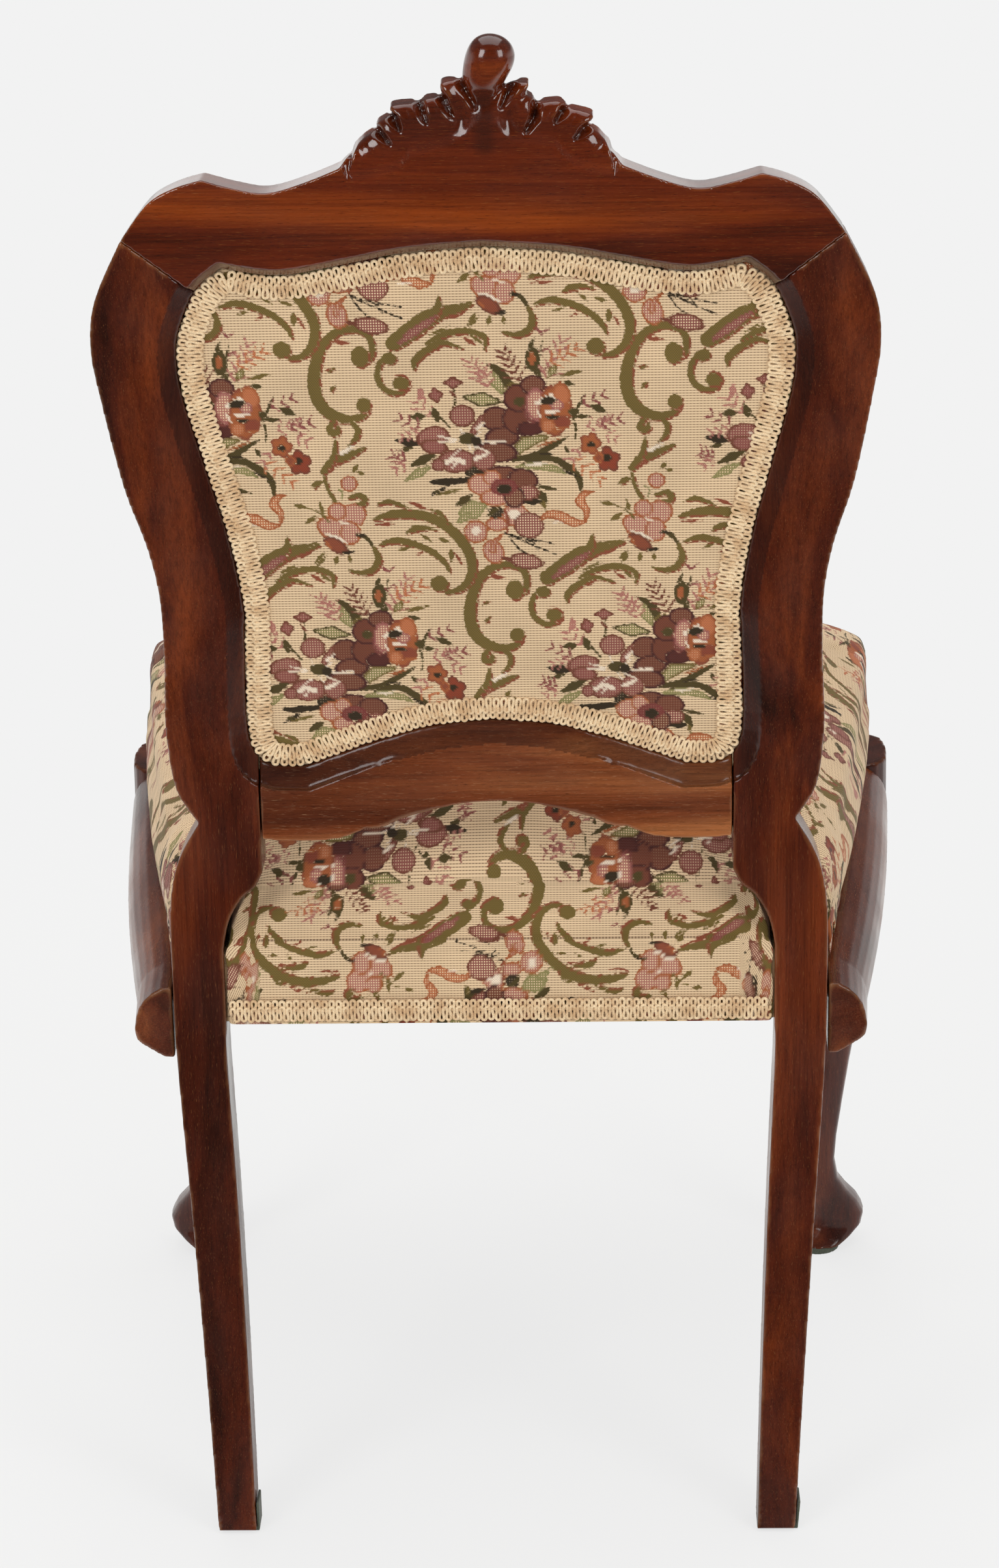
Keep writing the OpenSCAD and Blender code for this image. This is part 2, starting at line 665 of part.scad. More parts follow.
// Glued and screwed blocks in the four corners of the frame
block_leg = 48;
block_h = rail_down * 1.4;
block_low = ease - rail_down * 0.8;
inner_front_y = rail_t - front_in;
function inner_x(y) = side_x(y) - rail_t;
module front_block() {
    y1 = -block_back + fit;
    plan = [[front_x, inner_front_y], [front_x, y1], [inner_x(y1), y1],
        [inner_x(y1 + block_leg), y1 + block_leg], [front_x - block_leg, inner_front_y]];
    in_seat() translate([0, 0, block_low]) linear_extrude(block_h) polygon(plan);
}
module rear_block() {
    y1 = rear_rail_y - rail_t - over;
    y2 = leg_y - over;
    plan = [[gap_w / 2 - block_leg, y1], [gap_w / 2, y1], [gap_w / 2, y2], [inner_x(y2), y2],
        [inner_x(y2 - block_leg), y2 - block_leg]];
    in_seat() translate([0, 0, block_low]) linear_extrude(block_h) polygon(plan);
}
screw_r = 2;
screw_head_r = 3.8;
screw_l = 30;
module screw(r, grow) {
    translate([0, 0, -screw_l]) cylinder(h = screw_l + grow, r = r, $fn = 20);
    head_h = screw_head_r * 0.7;
    head_r = screw_head_r + r - screw_r;
    translate([0, 0, -head_h]) cylinder(h = head_h, r1 = r, r2 = head_r, $fn = 20);
    if (grow > 0) cylinder(h = grow, r = head_r, $fn = 20);
}
block_mid_z = block_low + block_h / 2;
// Place of a screw along a block and from its long side
screw_share = [0.62, 0.26];
module screw_set(r, grow) {
    in_seat() {
        y1 = block_leg * screw_share[0] - block_back;
        translate([inner_x(y1) - block_leg * screw_share[1], y1, block_mid_z]) rotate([0, 90, 0])
            mirror([0, 0, 1]) screw(r, grow);
        translate([front_x - block_leg * screw_share[0], inner_front_y + block_leg * screw_share[1],
            block_mid_z]) rotate([-90, 0, 0]) screw(r, grow);
        y2 = leg_y - over - block_leg * screw_share[0];
        translate([inner_x(y2) - block_leg * screw_share[1], y2, block_mid_z]) rotate([0, 90, 0])
            mirror([0, 0, 1]) screw(r, grow);
    }
}
module front_corner_blocks() {
    color(beech) placed() mirrored_pair() difference() {
        front_block();
        screw_set(screw_r + fit, over);
    }
}
module rear_corner_blocks() {
    color(beech) placed() mirrored_pair() difference() {
        rear_block();
        screw_set(screw_r + fit, over);
    }
}
module block_screws() {
    color(steel) placed() mirrored_pair() screw_set(screw_r, 0);
}

// Jute straps under the frame, the long ones above the cross ones
web_long_share = [-0.36, 0, 0.36];
web_cross_share = [0.22, 0.5, 0.78];
module seat_webbing_long() {
    color(jute) placed() in_seat() for (s = web_long_share)
        translate([s * gap_w - web_w / 2, -front_in, -rail_down - web_t])
            cube([web_w, front_in + rear_rail_y - rail_t / 4, web_t]);
}
module seat_webbing_cross() {
    color(jute) placed() in_seat() for (s = web_cross_share) {
        y = -mix(-rear_rail_y + rail_t, front_in - rail_t, s);
        l = side_x(y + web_w / 2) - rail_t / 4;
        translate([-l, y - web_w / 2, -rail_down - 2 * web_t]) cube([2 * l, web_w, web_t]);
    }
}

// Springs: waisted coils standing on the straps under the base cloth
coil_turns = 4;
coil_steps = 10;
wire_sides = 5;
coil_end_r = 31;
coil_waist_r = 19;
spring_h = spring_top + rail_down;
spring_at_share = [[-0.3, 0.29], [0.3, 0.29], [0, 0.5], [-0.3, 0.71], [0.3, 0.71]];
function coil_r(t) = mix(coil_waist_r, coil_end_r, pow(abs(2 * t - 1), 1.5));
// The end coils lie almost flat, the middle ones share the height
end_flat = 0.12;
function coil_z(t) = t < end_flat ? t * wire_d * 1.5 / end_flat :
    t > 1 - end_flat ? spring_h - wire_d - (1 - t) * wire_d * 1.5 / end_flat :
    mix(wire_d * 1.5, spring_h - wire_d * 2.5, (t - end_flat) / (1 - 2 * end_flat));
module coil() {
    n = coil_turns * coil_steps;
    rows = [for (i = [0 : n])
        let (t = i / n, a = 360 * coil_turns * t, r = coil_r(t), z = coil_z(t) + wire_d / 2)
        [for (k = [0 : wire_sides - 1]) let (b = 360 * k / wire_sides, d = wire_d / 2)
            [(r + d * cos(b)) * cos(a), (r + d * cos(b)) * sin(a), z + d * sin(b)]]];
    skin(rows);
}
coil_pts = [for (i = [0 : coil_turns * coil_steps]) let (t = i / (coil_turns * coil_steps),
    a = 360 * coil_turns * t) [coil_r(t) * cos(a), coil_r(t) * sin(a), coil_z(t)]];
coil_gaps = [for (i = [0 : len(coil_pts) - 1 - coil_steps])
    norm(coil_pts[i + coil_steps] - coil_pts[i]) - wire_d];
echo(least_gap_between_turns = min(coil_gaps));
module seat_springs() {
    color(steel) placed() in_seat() for (s = spring_at_share)
        translate([s[0] * gap_w, -mix(-rear_rail_y + rail_t, front_in - rail_t, s[1]),
            -rail_down + ease / 3]) coil();
}

// Plan of the hidden frame: outer edge moved out or in
function frame_plan(grow) = [[gap_w / 2 - fit, rear_rail_y + grow], [gap_w / 2 - fit, leg_y - ease],
    [hip_out + grow, leg_y - ease], [front_w / 2 + grow, -block_back],
    [front_w / 2 + grow, block_ease - front_in], [front_w / 2 - block_ease, -front_in - grow],
    [front_x, -front_in - grow]];
function frame_outline(grow) = concat(frame_plan(grow),
    turned([for (i = [1 : bow_n - 1]) [front_line[i][0], front_line[i][1] - grow]]),
    turned([for (p = frame_plan(grow)) [-p[0], p[1]]]));

// Clear space inside the rails, notched at the four legs; lap is how far it reaches over them
notch_y = leg_y - ease - (rail_up + over) * sin(seat_slope);
function half_well(lap) = [[gap_w / 2 - ease, rear_rail_y - rail_t + lap],
    [gap_w / 2 - ease, notch_y], [inner_x(leg_y) + lap, notch_y],
    [inner_x(-block_back) + lap, ease - block_back], [front_x - ease, ease - block_back],
    [front_x - ease, inner_front_y - lap]];
function well(lap) = concat(half_well(lap), turned([for (p = half_well(lap)) [-p[0], p[1]]]));

// Base cloth: tied over the springs and tacked to the tops of the rails
cloth_t = 1;
cloth_z = rail_up + ease / 3;
cloth_lap = 10;
tent_in = 42;
tent_corner = [inner_x(leg_y), leg_y - tent_in / 2];
function tent_plan(grow) = let (a = tent_corner[1] + grow, b = inner_front_y - grow,
    x1 = tent_corner[0] + grow, x2 = front_x + grow - ease)
    [[x1, a], [x2, b], [-x2, b], [-x1, a]];
// A low flat-topped rise over the springs, with a straight foot below it
module tent(high, grow, foot) {
    hull() {
        translate([0, 0, cloth_z]) linear_extrude(cloth_t / 2) polygon(tent_plan(grow - over));
        translate([0, 0, high - cloth_t / 2]) linear_extrude(cloth_t / 2)
            polygon(tent_plan(grow - tent_in));
    }
    translate([0, 0, cloth_z - foot]) linear_extrude(foot + cloth_t / 2)
        polygon(tent_plan(grow - over));
}
module seat_base_cloth() {
    color(jute) placed() in_seat() difference() {
        union() {
            tent(spring_top + ease + cloth_t, cloth_t, 0);
            translate([0, 0, cloth_z]) linear_extrude(cloth_t) polygon(well(cloth_lap));
        }
        tent(spring_top + ease, 0, over);
    }
}

// Seat cushion: stuffing and cover in one, from the top of the shaped rails to the crown
side_pts = 7;
front_pts = 12;
rear_pts = 7;
cushion_mid_y = -front_in / 2;
rim_out = skirt_t;
function rim_half() = concat(
    [for (i = [0 : rear_pts - 1])
        [(gap_w / 2 - over) * i / (rear_pts - 1), rear_rail_y + skirt_t - ease]],
    [[gap_w / 2 - over, leg_y - over], [hip_out + rim_out, leg_y - over]],
    [for (i = [1 : side_pts]) let (y = mix(leg_y - over, -block_back, i / side_pts))
        [side_x(y) + rim_out, y]],
    [[front_w / 2 + rim_out, -front_in + block_w / 4],
        [front_w / 2 - block_w / 4, -front_in - rim_out]],
    [for (i = [0 : front_pts / 2]) let (x = front_x * (1 - 2 * i / front_pts))
        [x, front_y(x) - rim_out]]);
rim_h = rim_half();
rim = concat(rim_h, turned([for (i = [1 : len(rim_h) - 2]) [-rim_h[i][0], rim_h[i][1]]]));
function along(y) = min(1, max(0, -y / front_in));
swell_power = 0.6;
function swell_at(p) = swell * pow(along(p[1]), swell_power);
function shoulder_at(p) = mix(cushion_rear_h, cushion_front_h, sin(90 * along(p[1])));
cushion_mid = [0, cushion_mid_y];
function out_dir(p) = let (d = p - cushion_mid) d / norm(d);
// Level, share of the shoulder height and of the swell
wall_share = [[0, 0], [0.28, 0.5], [0.6, 0.9], [0.82, 1], [0.94, 0.75]];
last_swell_share = 0.75;
// The rear rolls forward as it rises, and the roll fades along the sides
roll_reach = rear_roll * 4;
roll_power = 3;
function roll_at(p, s) = [0, rear_roll * pow(s, roll_power) * max(0, 1 + p[1] / roll_reach)];
top_share = [0.955, 0.87, 0.74, 0.56, 0.34, 0.12];
oval_share = [0.47, 0.5];
function oval(p) = let (d = out_dir(p))
    cushion_mid + [d[0] * front_w * oval_share[0], d[1] * front_in * oval_share[1]];
function wall_row(s) = [for (p = rim) let (q = p + out_dir(p) * swell_at(p) * s[1] - roll_at(p, s[0]))
    [q[0], q[1] - s[0] * shoulder_at(p) * tan(seat_slope), ease + s[0] * shoulder_at(p)]];
crown_share = 0.9;
crown_power = 2.4;
function top_row(r) = [for (p = rim)
    let (q = p + out_dir(p) * swell_at(p) * last_swell_share - roll_at(p, 1),
    e = cushion_mid + (mix(oval(p), q, pow(r, 2)) - cushion_mid) * r,
    lean = shoulder_at(p) * tan(seat_slope) * r)
    [e[0], e[1] - lean, ease + shoulder_at(mix(cushion_mid, p, r))
        + crown * crown_share * (1 - pow(r, crown_power))]];
module cushion_body() {
    skin(concat([for (s = wall_share) wall_row(s)], [for (r = top_share) top_row(r)]));
}
skirt_low = -rail_down - web_t;
// The room that the cushion leaves for a stile
module stile_clearance() {
    top_z = joint_top;
    edge = concat([[gap_w / 2, seat_z - rail_down], [gap_w / 2, waist_z]], neck, [[rail_w / 2, top_z]]);
    room = concat([for (q = edge) q - [ease, 0]], [[back_w / 2, top_z], [back_w / 2, edge[0][1]]]);
    translate([0, over, 0]) rotate([90, 0, 0]) linear_extrude(over + ease - leg_y) polygon(room);
}
module seat_cushion() {
    color(cloth) placed() difference() {
        union() {
            in_seat() cushion_body();
            translate([-gap_w / 2 + ease, rear_rail_y + ease, seat_z + skirt_low])
                cube([gap_w - 2 * ease, skirt_t - ease, -skirt_low + cushion_rear_h / 2]);
        }
        in_seat() {
            translate([0, 0, -rail_down - over])
                linear_extrude(rail_down + cloth_z + cloth_t + ease + over) polygon(frame_outline(ease));
            tent(spring_top + cloth_t + 2 * ease, cloth_t + ease, 0);
        }
        mirrored_pair() stile_clearance();
    }
}

// Braid along the foot of the rear skirt
module seat_braid() {
    color(braid) placed()
        translate([-gap_w / 2 + ease, rear_rail_y + skirt_t + fit, seat_z + skirt_low + over])
            cube([gap_w - 2 * ease, braid_t, braid_w]);
}

module dust_cover() {
    color(black_cloth) placed() in_seat() translate([0, 0, -rail_down - 2 * web_t - cloth_t])
        linear_extrude(cloth_t) polygon(well(rail_t * 0.8));
}

// Back upholstery, in the flat of the back
module back_base_cloth() {
    color(jute) placed() in_back() slab(opening(lip_w, ease), lip_d - frame_t, lip_d - frame_t - cloth_t);
}
pad_share = [[0, 0], [0.015, 0.3], [0.1, 0.66], [0.3, 0.91], [0.62, 1]];
pad_base = lip_d - frame_t - cloth_t - fit;
pad_rise_y = pad_rise + frame_t + pad_base - cover_t;
module back_pad() {
    rim = opening(lip_w, ease);
    l = opening(lip_w, 2 * ease + braid_w);
    c = [0, mix(open_low, open_top, 0.52)];
    function row(p, y) = [for (q = p) let (u = up(q)) [u[0], y, u[1]]];
    rows = concat([row(rim, pad_base), row(rim, pad_base - cover_t)],
        [for (s = pad_share) row([for (q = l) mix(q, c, s[0])], pad_base - cover_t - s[1] * pad_rise_y)]);
    color(cloth) placed() in_back() skin([for (row = rows) turned(row)]);
}
module back_cover() {
    color(cloth) placed() in_back() slab(opening(lip_w, ease), cover_t - rebate_d, -rebate_d);
}
module braid_ring(y_rear, y_front) {
    difference() {
        slab(opening(lip_w, ease), y_rear, y_front);
        slab(opening(lip_w, ease + braid_w), y_rear + over, y_front - over);
    }
}
module back_braid() {
    color(braid) placed() in_back() braid_ring(cover_t + braid_t - rebate_d, cover_t - rebate_d);
}
module front_back_braid() {
    y = pad_base - cover_t - fit;
    color(braid) placed() in_back() braid_ring(y, y - braid_t);
}

module front_felt_discs() {
    color(felt) placed() mirrored_pair() translate([foot_x, -front_feet_y, 0])
        cylinder(h = disc_t, r = disc_r, $fn = 36);
}
// Rear felts: a pad under the foot, turned up against one side of the leg
flap_h = 20;
flap_t = 1.6;
// Place and width of the felt, front to back
felt_share = [0.2, 0.72];
module rear_felt(side_x, other_x, lean) {
    section = [[side_x, pad_t], [side_x + lean, flap_h], [side_x + lean - flap_t, flap_h],
        [side_x - flap_t, 0], [other_x, 0], [other_x, pad_t]];
    translate([0, splay - foot_t * felt_share[0], 0]) rotate([90, 0, 0])
        linear_extrude(foot_t * felt_share[1]) polygon(section);
}
module rear_felt_pads() {
    color(felt) placed() {
        rear_felt(foot_in - ease, foot_w / 2, 0);
        rear_felt(-foot_w / 2 - ease, -foot_in, -flap_t);
    }
}

left_stile();
right_stile();
crest_rail();
lower_back_rail();
crest_dowels();
rear_seat_rail();
left_seat_rail();
right_seat_rail();
front_seat_rail();
left_rail_facing();
right_rail_facing();
front_rail_facing();
left_front_leg();
right_front_leg();
front_corner_blocks();
rear_corner_blocks();
block_screws();
rail_dowels();
facing_pins();
seat_webbing_long();
seat_webbing_cross();
seat_springs();
seat_base_cloth();
seat_cushion();
seat_braid();
dust_cover();
back_base_cloth();
back_pad();
back_cover();
back_braid();
front_back_braid();
front_felt_discs();
rear_felt_pads();
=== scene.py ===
import math

import bmesh
import bpy
import numpy as np
from mathutils import Matrix, Vector


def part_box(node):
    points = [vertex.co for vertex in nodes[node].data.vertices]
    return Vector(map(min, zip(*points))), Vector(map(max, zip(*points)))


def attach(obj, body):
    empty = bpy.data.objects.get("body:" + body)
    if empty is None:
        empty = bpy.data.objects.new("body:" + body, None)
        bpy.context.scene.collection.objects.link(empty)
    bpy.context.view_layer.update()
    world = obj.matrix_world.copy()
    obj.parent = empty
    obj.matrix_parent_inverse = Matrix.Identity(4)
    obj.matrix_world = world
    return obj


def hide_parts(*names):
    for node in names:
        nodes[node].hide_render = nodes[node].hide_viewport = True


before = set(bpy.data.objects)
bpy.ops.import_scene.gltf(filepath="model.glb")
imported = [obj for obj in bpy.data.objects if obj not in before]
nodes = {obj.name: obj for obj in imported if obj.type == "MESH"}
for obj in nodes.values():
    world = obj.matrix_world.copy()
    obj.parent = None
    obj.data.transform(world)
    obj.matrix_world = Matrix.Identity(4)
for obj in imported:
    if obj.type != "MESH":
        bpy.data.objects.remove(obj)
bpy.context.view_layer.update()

# Camera, light and floor
# The chair stands in a pale studio and is seen from behind and from a little above. Soft boxes
# stand left and right of the camera, over the chair and before its front, and the room fills
# in the shadows.


def linear(colour):
    """A hex colour as linear light, with full alpha."""
    parts = [int(colour[i:i + 2], 16) / 255 for i in (1, 3, 5)]
    return tuple(c / 12.92 if c <= 0.04045 else ((c + 0.055) / 1.055) ** 2.4 for c in parts) + (1,)


def add(tree, kind, settings=None, **inputs):
    """Adds a shader node: its settings, then its inputs, as values or as sockets to link."""
    made = tree.nodes.new("ShaderNode" + kind)
    for key, value in (settings or {}).items():
        setattr(made, key, value)
    for key, value in inputs.items():
        numbered = key[0] == "i" and key[1:].isdigit()
        socket = made.inputs[int(key[1:]) if numbered else key.replace("_", " ")]
        if isinstance(value, bpy.types.NodeSocket):
            tree.links.new(value, socket)
        else:
            socket.default_value = value
    return made


def new_material(name):
    made = bpy.data.materials.new(name)
    made.use_nodes = True
    made.node_tree.nodes.clear()
    return made, made.node_tree


camera_at = Vector((-0.0613, 2.4172, 1.2808))
pitch, yaw, roll = (math.radians(a) for a in (19.0, -1.5, -1.0))
ahead = Vector((-math.sin(yaw) * math.cos(pitch), -math.cos(yaw) * math.cos(pitch), -math.sin(pitch)))
level_right = ahead.cross(Vector((0, 0, 1))).normalized()
level_up = level_right.cross(ahead)
camera_right = level_right * math.cos(roll) + level_up * math.sin(roll)
camera_up = level_up * math.cos(roll) - level_right * math.sin(roll)
camera_data = bpy.data.cameras.new("camera")
camera_data.lens = 86
camera_data.sensor_width = 36
camera = bpy.data.objects.new("camera", camera_data)
bpy.context.collection.objects.link(camera)
turn = Matrix((camera_right, camera_up, -ahead)).transposed()
camera.matrix_world = Matrix.Translation(camera_at) @ turn.to_4x4()
bpy.context.scene.camera = camera
bpy.context.scene.view_settings.view_transform = "Standard"


def soft_box(name, place, target, wide, high, watts, mirrored=True):
    """A rectangular lamp turned to a target; polished wood need not mirror it."""
    data = bpy.data.lights.new(name, "AREA")
    data.shape = "RECTANGLE"
    data.size = wide
    data.size_y = high
    data.energy = watts
    lamp = bpy.data.objects.new(name, data)
    bpy.context.collection.objects.link(lamp)
    lamp.visible_glossy = mirrored
    lamp.location = place
    lamp.rotation_euler = (Vector(target) - Vector(place)).to_track_quat("-Z", "Y").to_euler()


soft_box("left_box", (1.5, 1.9, 1.9), (0, 0, 0.6), 0.9, 1.2, 19)
soft_box("right_box", (-1.7, 1.7, 1.8), (0, 0, 0.6), 0.9, 1.2, 16)
soft_box("top_box", (0, -0.2, 2.6), (0, 0, 0.4), 2.0, 2.0, 18)
soft_box("front_box", (0.6, -2.6, 1.6), (0, 0, 0.5), 1.2, 1.4, 12, mirrored=False)

world = bpy.data.worlds.new("studio")
world.use_nodes = True
bpy.context.scene.world = world
tree = world.node_tree
tree.nodes.clear()
path = add(tree, "LightPath")
largest = {"operation": "MAXIMUM"}
product = {"operation": "MULTIPLY"}
seen = add(tree, "Math", largest, i0=path.outputs["Is Camera Ray"], i1=path.outputs["Is Glossy Ray"])
seen = add(tree, "Math", largest, i0=seen.outputs[0], i1=path.outputs["Is Transmission Ray"])
room = add(tree, "Background", Color=linear("#ffffff"), Strength=0.72)
sky = add(tree, "SeparateXYZ", Vector=add(tree, "TexCoord").outputs["Generated"])
low_sky = add(tree, "MapRange", Value=sky.outputs[2], From_Min=0.1, From_Max=0.3, To_Min=0.9, To_Max=0.15)
ahead_sky = add(tree, "MapRange", Value=sky.outputs[1], From_Min=-0.1, From_Max=0.35, To_Min=1.0, To_Max=0.1)
mirrored = add(tree, "Math", product, i0=low_sky.outputs[0], i1=ahead_sky.outputs[0])
mirrored = add(tree, "Math", largest, i0=mirrored.outputs[0], i1=path.outputs["Is Camera Ray"])
backdrop = add(tree, "Background", Color=linear("#f4f4f3"), Strength=mirrored.outputs[0])
mixed = add(tree, "MixShader", i0=seen.outputs[0], i1=room.outputs[0], i2=backdrop.outputs[0])
add(tree, "OutputWorld", Surface=mixed.outputs[0])

disc = bmesh.new()
bmesh.ops.create_circle(disc, cap_ends=True, radius=14, segments=96)
floor_mesh = bpy.data.meshes.new("floor")
disc.to_mesh(floor_mesh)
disc.free()
floor = bpy.data.objects.new("floor", floor_mesh)
bpy.context.collection.objects.link(floor)
# Matt pale paper: it takes the soft shadow, and away from the chair it is lit to an even white
material, tree = new_material("pale_paper")
paper = add(tree, "BsdfPrincipled", Base_Color=linear("#ececea"), Roughness=0.9, Specular_IOR_Level=0.1)
smooth_step = {"interpolation_type": "SMOOTHSTEP"}
place = add(tree, "TexCoord")
reach = add(tree, "VectorMath", {"operation": "LENGTH"}, i0=place.outputs["Object"])
lit = add(tree, "MapRange", smooth_step, Value=reach.outputs[1], From_Min=0.3, From_Max=1.6, To_Min=0.8,
          To_Max=1.0)
path = add(tree, "LightPath")
lit = add(tree, "Math", product, i0=lit.outputs[0], i1=path.outputs["Is Camera Ray"])
glow = add(tree, "Emission", Color=linear("#f2f2f2"), Strength=1.0)
mixed = add(tree, "MixShader", i0=lit.outputs[0], i1=paper.outputs[0], i2=glow.outputs[0])
# The studio behind the camera is dark, so polished wood mirrors little of the floor there
behind = add(tree, "SeparateXYZ", Vector=place.outputs["Object"])
unlit = add(tree, "MapRange", smooth_step, Value=behind.outputs[1], From_Min=0.3, From_Max=0.7)
unlit = add(tree, "Math", product, i0=unlit.outputs[0], i1=path.outputs["Is Glossy Ray"])
dim = add(tree, "Emission", Color=linear("#f2f2f2"), Strength=0.06)
mixed = add(tree, "MixShader", i0=unlit.outputs[0], i1=mixed.outputs[0], i2=dim.outputs[0])
add(tree, "OutputMaterial", Surface=mixed.outputs[0])
floor_mesh.materials.append(material)

# Stiles and rear legs
# Each stile runs from the rear foot up to the mitre of the crest rail in one length of
# walnut. It is band-sawn from the plank, rounded over by hand and french polished.


def merged_copy(node):
    """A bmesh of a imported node's mesh with its loose triangles joined."""
    made = bmesh.new()
    made.from_mesh(nodes[node].data)
    bmesh.ops.remove_doubles(made, verts=made.verts, dist=0.00002)
    return made


def add_object(name, source):
    """An object at the origin from a bmesh or a mesh."""
    if isinstance(source, bmesh.types.BMesh):
        mesh = bpy.data.meshes.new(name)
        source.to_mesh(mesh)
        source.free()
    else:
        mesh = source
    made = bpy.data.objects.new(name, mesh)
    bpy.context.collection.objects.link(made)
    return made


def apply_modifiers(piece):
    """Puts what the piece's modifiers make into its mesh."""
    layer = bpy.context.view_layer
    layer.update()
    finished = bpy.data.meshes.new_from_object(piece.evaluated_get(bpy.context.evaluated_depsgraph_get()))
    piece.modifiers.clear()
    old = piece.data
    piece.data = finished
    bpy.data.meshes.remove(old)


def cover(piece, material):
    """Gives a piece one material and smooth shading."""
    piece.data.shade_smooth()
    piece.data.materials.clear()
    piece.data.materials.append(material)


def fuse(piece, grain):
    """Fuses all that the piece's mesh holds into one skin with eased edges."""
    remesh = piece.modifiers.new("fuse", "REMESH")
    remesh.mode = "VOXEL"
    remesh.voxel_size = grain
    apply_modifiers(piece)


def points_of(mesh):
    flat = np.empty(len(mesh.vertices) * 3, np.float32)
    mesh.vertices.foreach_get("co", flat)
    return flat.reshape(-1, 3).astype(float)


def normals_of(mesh):
    flat = np.empty(len(mesh.vertices) * 3, np.float32)
    mesh.vertices.foreach_get("normal", flat)
    return flat.reshape(-1, 3)


def set_points(mesh, points):
    mesh.vertices.foreach_set("co", points.astype(np.float32).ravel())
    mesh.update()


def edges_of(mesh):
    flat = np.empty(len(mesh.edges) * 2, np.int32)
    mesh.edges.foreach_get("vertices", flat)
    return flat.reshape(-1, 2)


def neighbour_mean(values, edges, count):
    """The mean of each vertex's neighbours, for one value or several a vertex."""
    columns = values.reshape(len(values), -1)
    total = np.stack([np.bincount(edges[:, 0], columns[edges[:, 1], k], count)
                      + np.bincount(edges[:, 1], columns[edges[:, 0], k], count)
                      for k in range(columns.shape[1])], 1)
    degree = np.bincount(edges.ravel(), minlength=count)
    return (total / np.maximum(degree, 1)[:, None]).reshape(values.shape)


def ease_skin(mesh, passes, strength=0.5):
    """Smooths a fused skin without shrinking it."""
    points, edges = points_of(mesh), edges_of(mesh)
    for _ in range(passes):
        for step in (strength, -strength * 1.04):
            points += step * (neighbour_mean(points, edges, len(points)) - points)
    set_points(mesh, points)


def mark_wear_and_painted_light(mesh):
    """Stores how far the surface bulges: above 0 on arrises, which are made lighter, partly
    as wearing and partly as a painted highlight, and below 0 in hollows, which are made
    darker, partly as wax and partly as painted shade.
    """
    points, edges = points_of(mesh), edges_of(mesh)
    out_of_it = points - neighbour_mean(points, edges, len(points))
    bulge = (out_of_it * normals_of(mesh)).sum(1) / 0.001
    for _ in range(3):
        bulge = 0.5 * bulge + 0.5 * neighbour_mean(bulge, edges, len(points))
    wear_and_painted_light = mesh.attributes.new("wear_and_painted_light", "FLOAT", "POINT")
    wear_and_painted_light.data.foreach_set("value", (bulge * 4).astype(np.float32))


def wear_and_painted_light_of(mesh):
    wear_and_painted_light = np.empty(len(mesh.vertices), np.float32)
    mesh.attributes["wear_and_painted_light"].data.foreach_get("value", wear_and_painted_light)
    return wear_and_painted_light


def finish_skin(piece, material, passes=4):
    """Smooths a piece of wood, marks its wearing and its painted light and shade, and gives it its finish."""
    ease_skin(piece.data, passes)
    mark_wear_and_painted_light(piece.data)
    cover(piece, material)


def along(tree, axis, across, length):
    """Object coordinates drawn out along the grain: mm across and mm along it."""
    scale = [1000 / across] * 3
    scale[axis] = 1000 / length
    return add(tree, "Mapping", Vector=add(tree, "TexCoord").outputs["Object"], Scale=scale).outputs[0]


def blend_colour(tree, kind, share, first, second):
    """Lays the second colour over the first, by a share of it."""
    settings = {"data_type": "RGBA", "blend_type": kind}
    return add(tree, "Mix", settings, i0=share, i6=first, i7=second).outputs[2]


def ramp(tree, value, *stops):
    """A colour ramp; each stop is a place and a colour."""
    made = add(tree, "ValToRGB", Fac=value)
    band = made.color_ramp
    while len(band.elements) < len(stops):
        band.elements.new(0.5)
    for element, (place, colour) in zip(band.elements, stops):
        element.position = place
        element.color = linear(colour) if isinstance(colour, str) else colour
    return made.outputs[0]


def grey(value):
    return (value, value, value, 1)


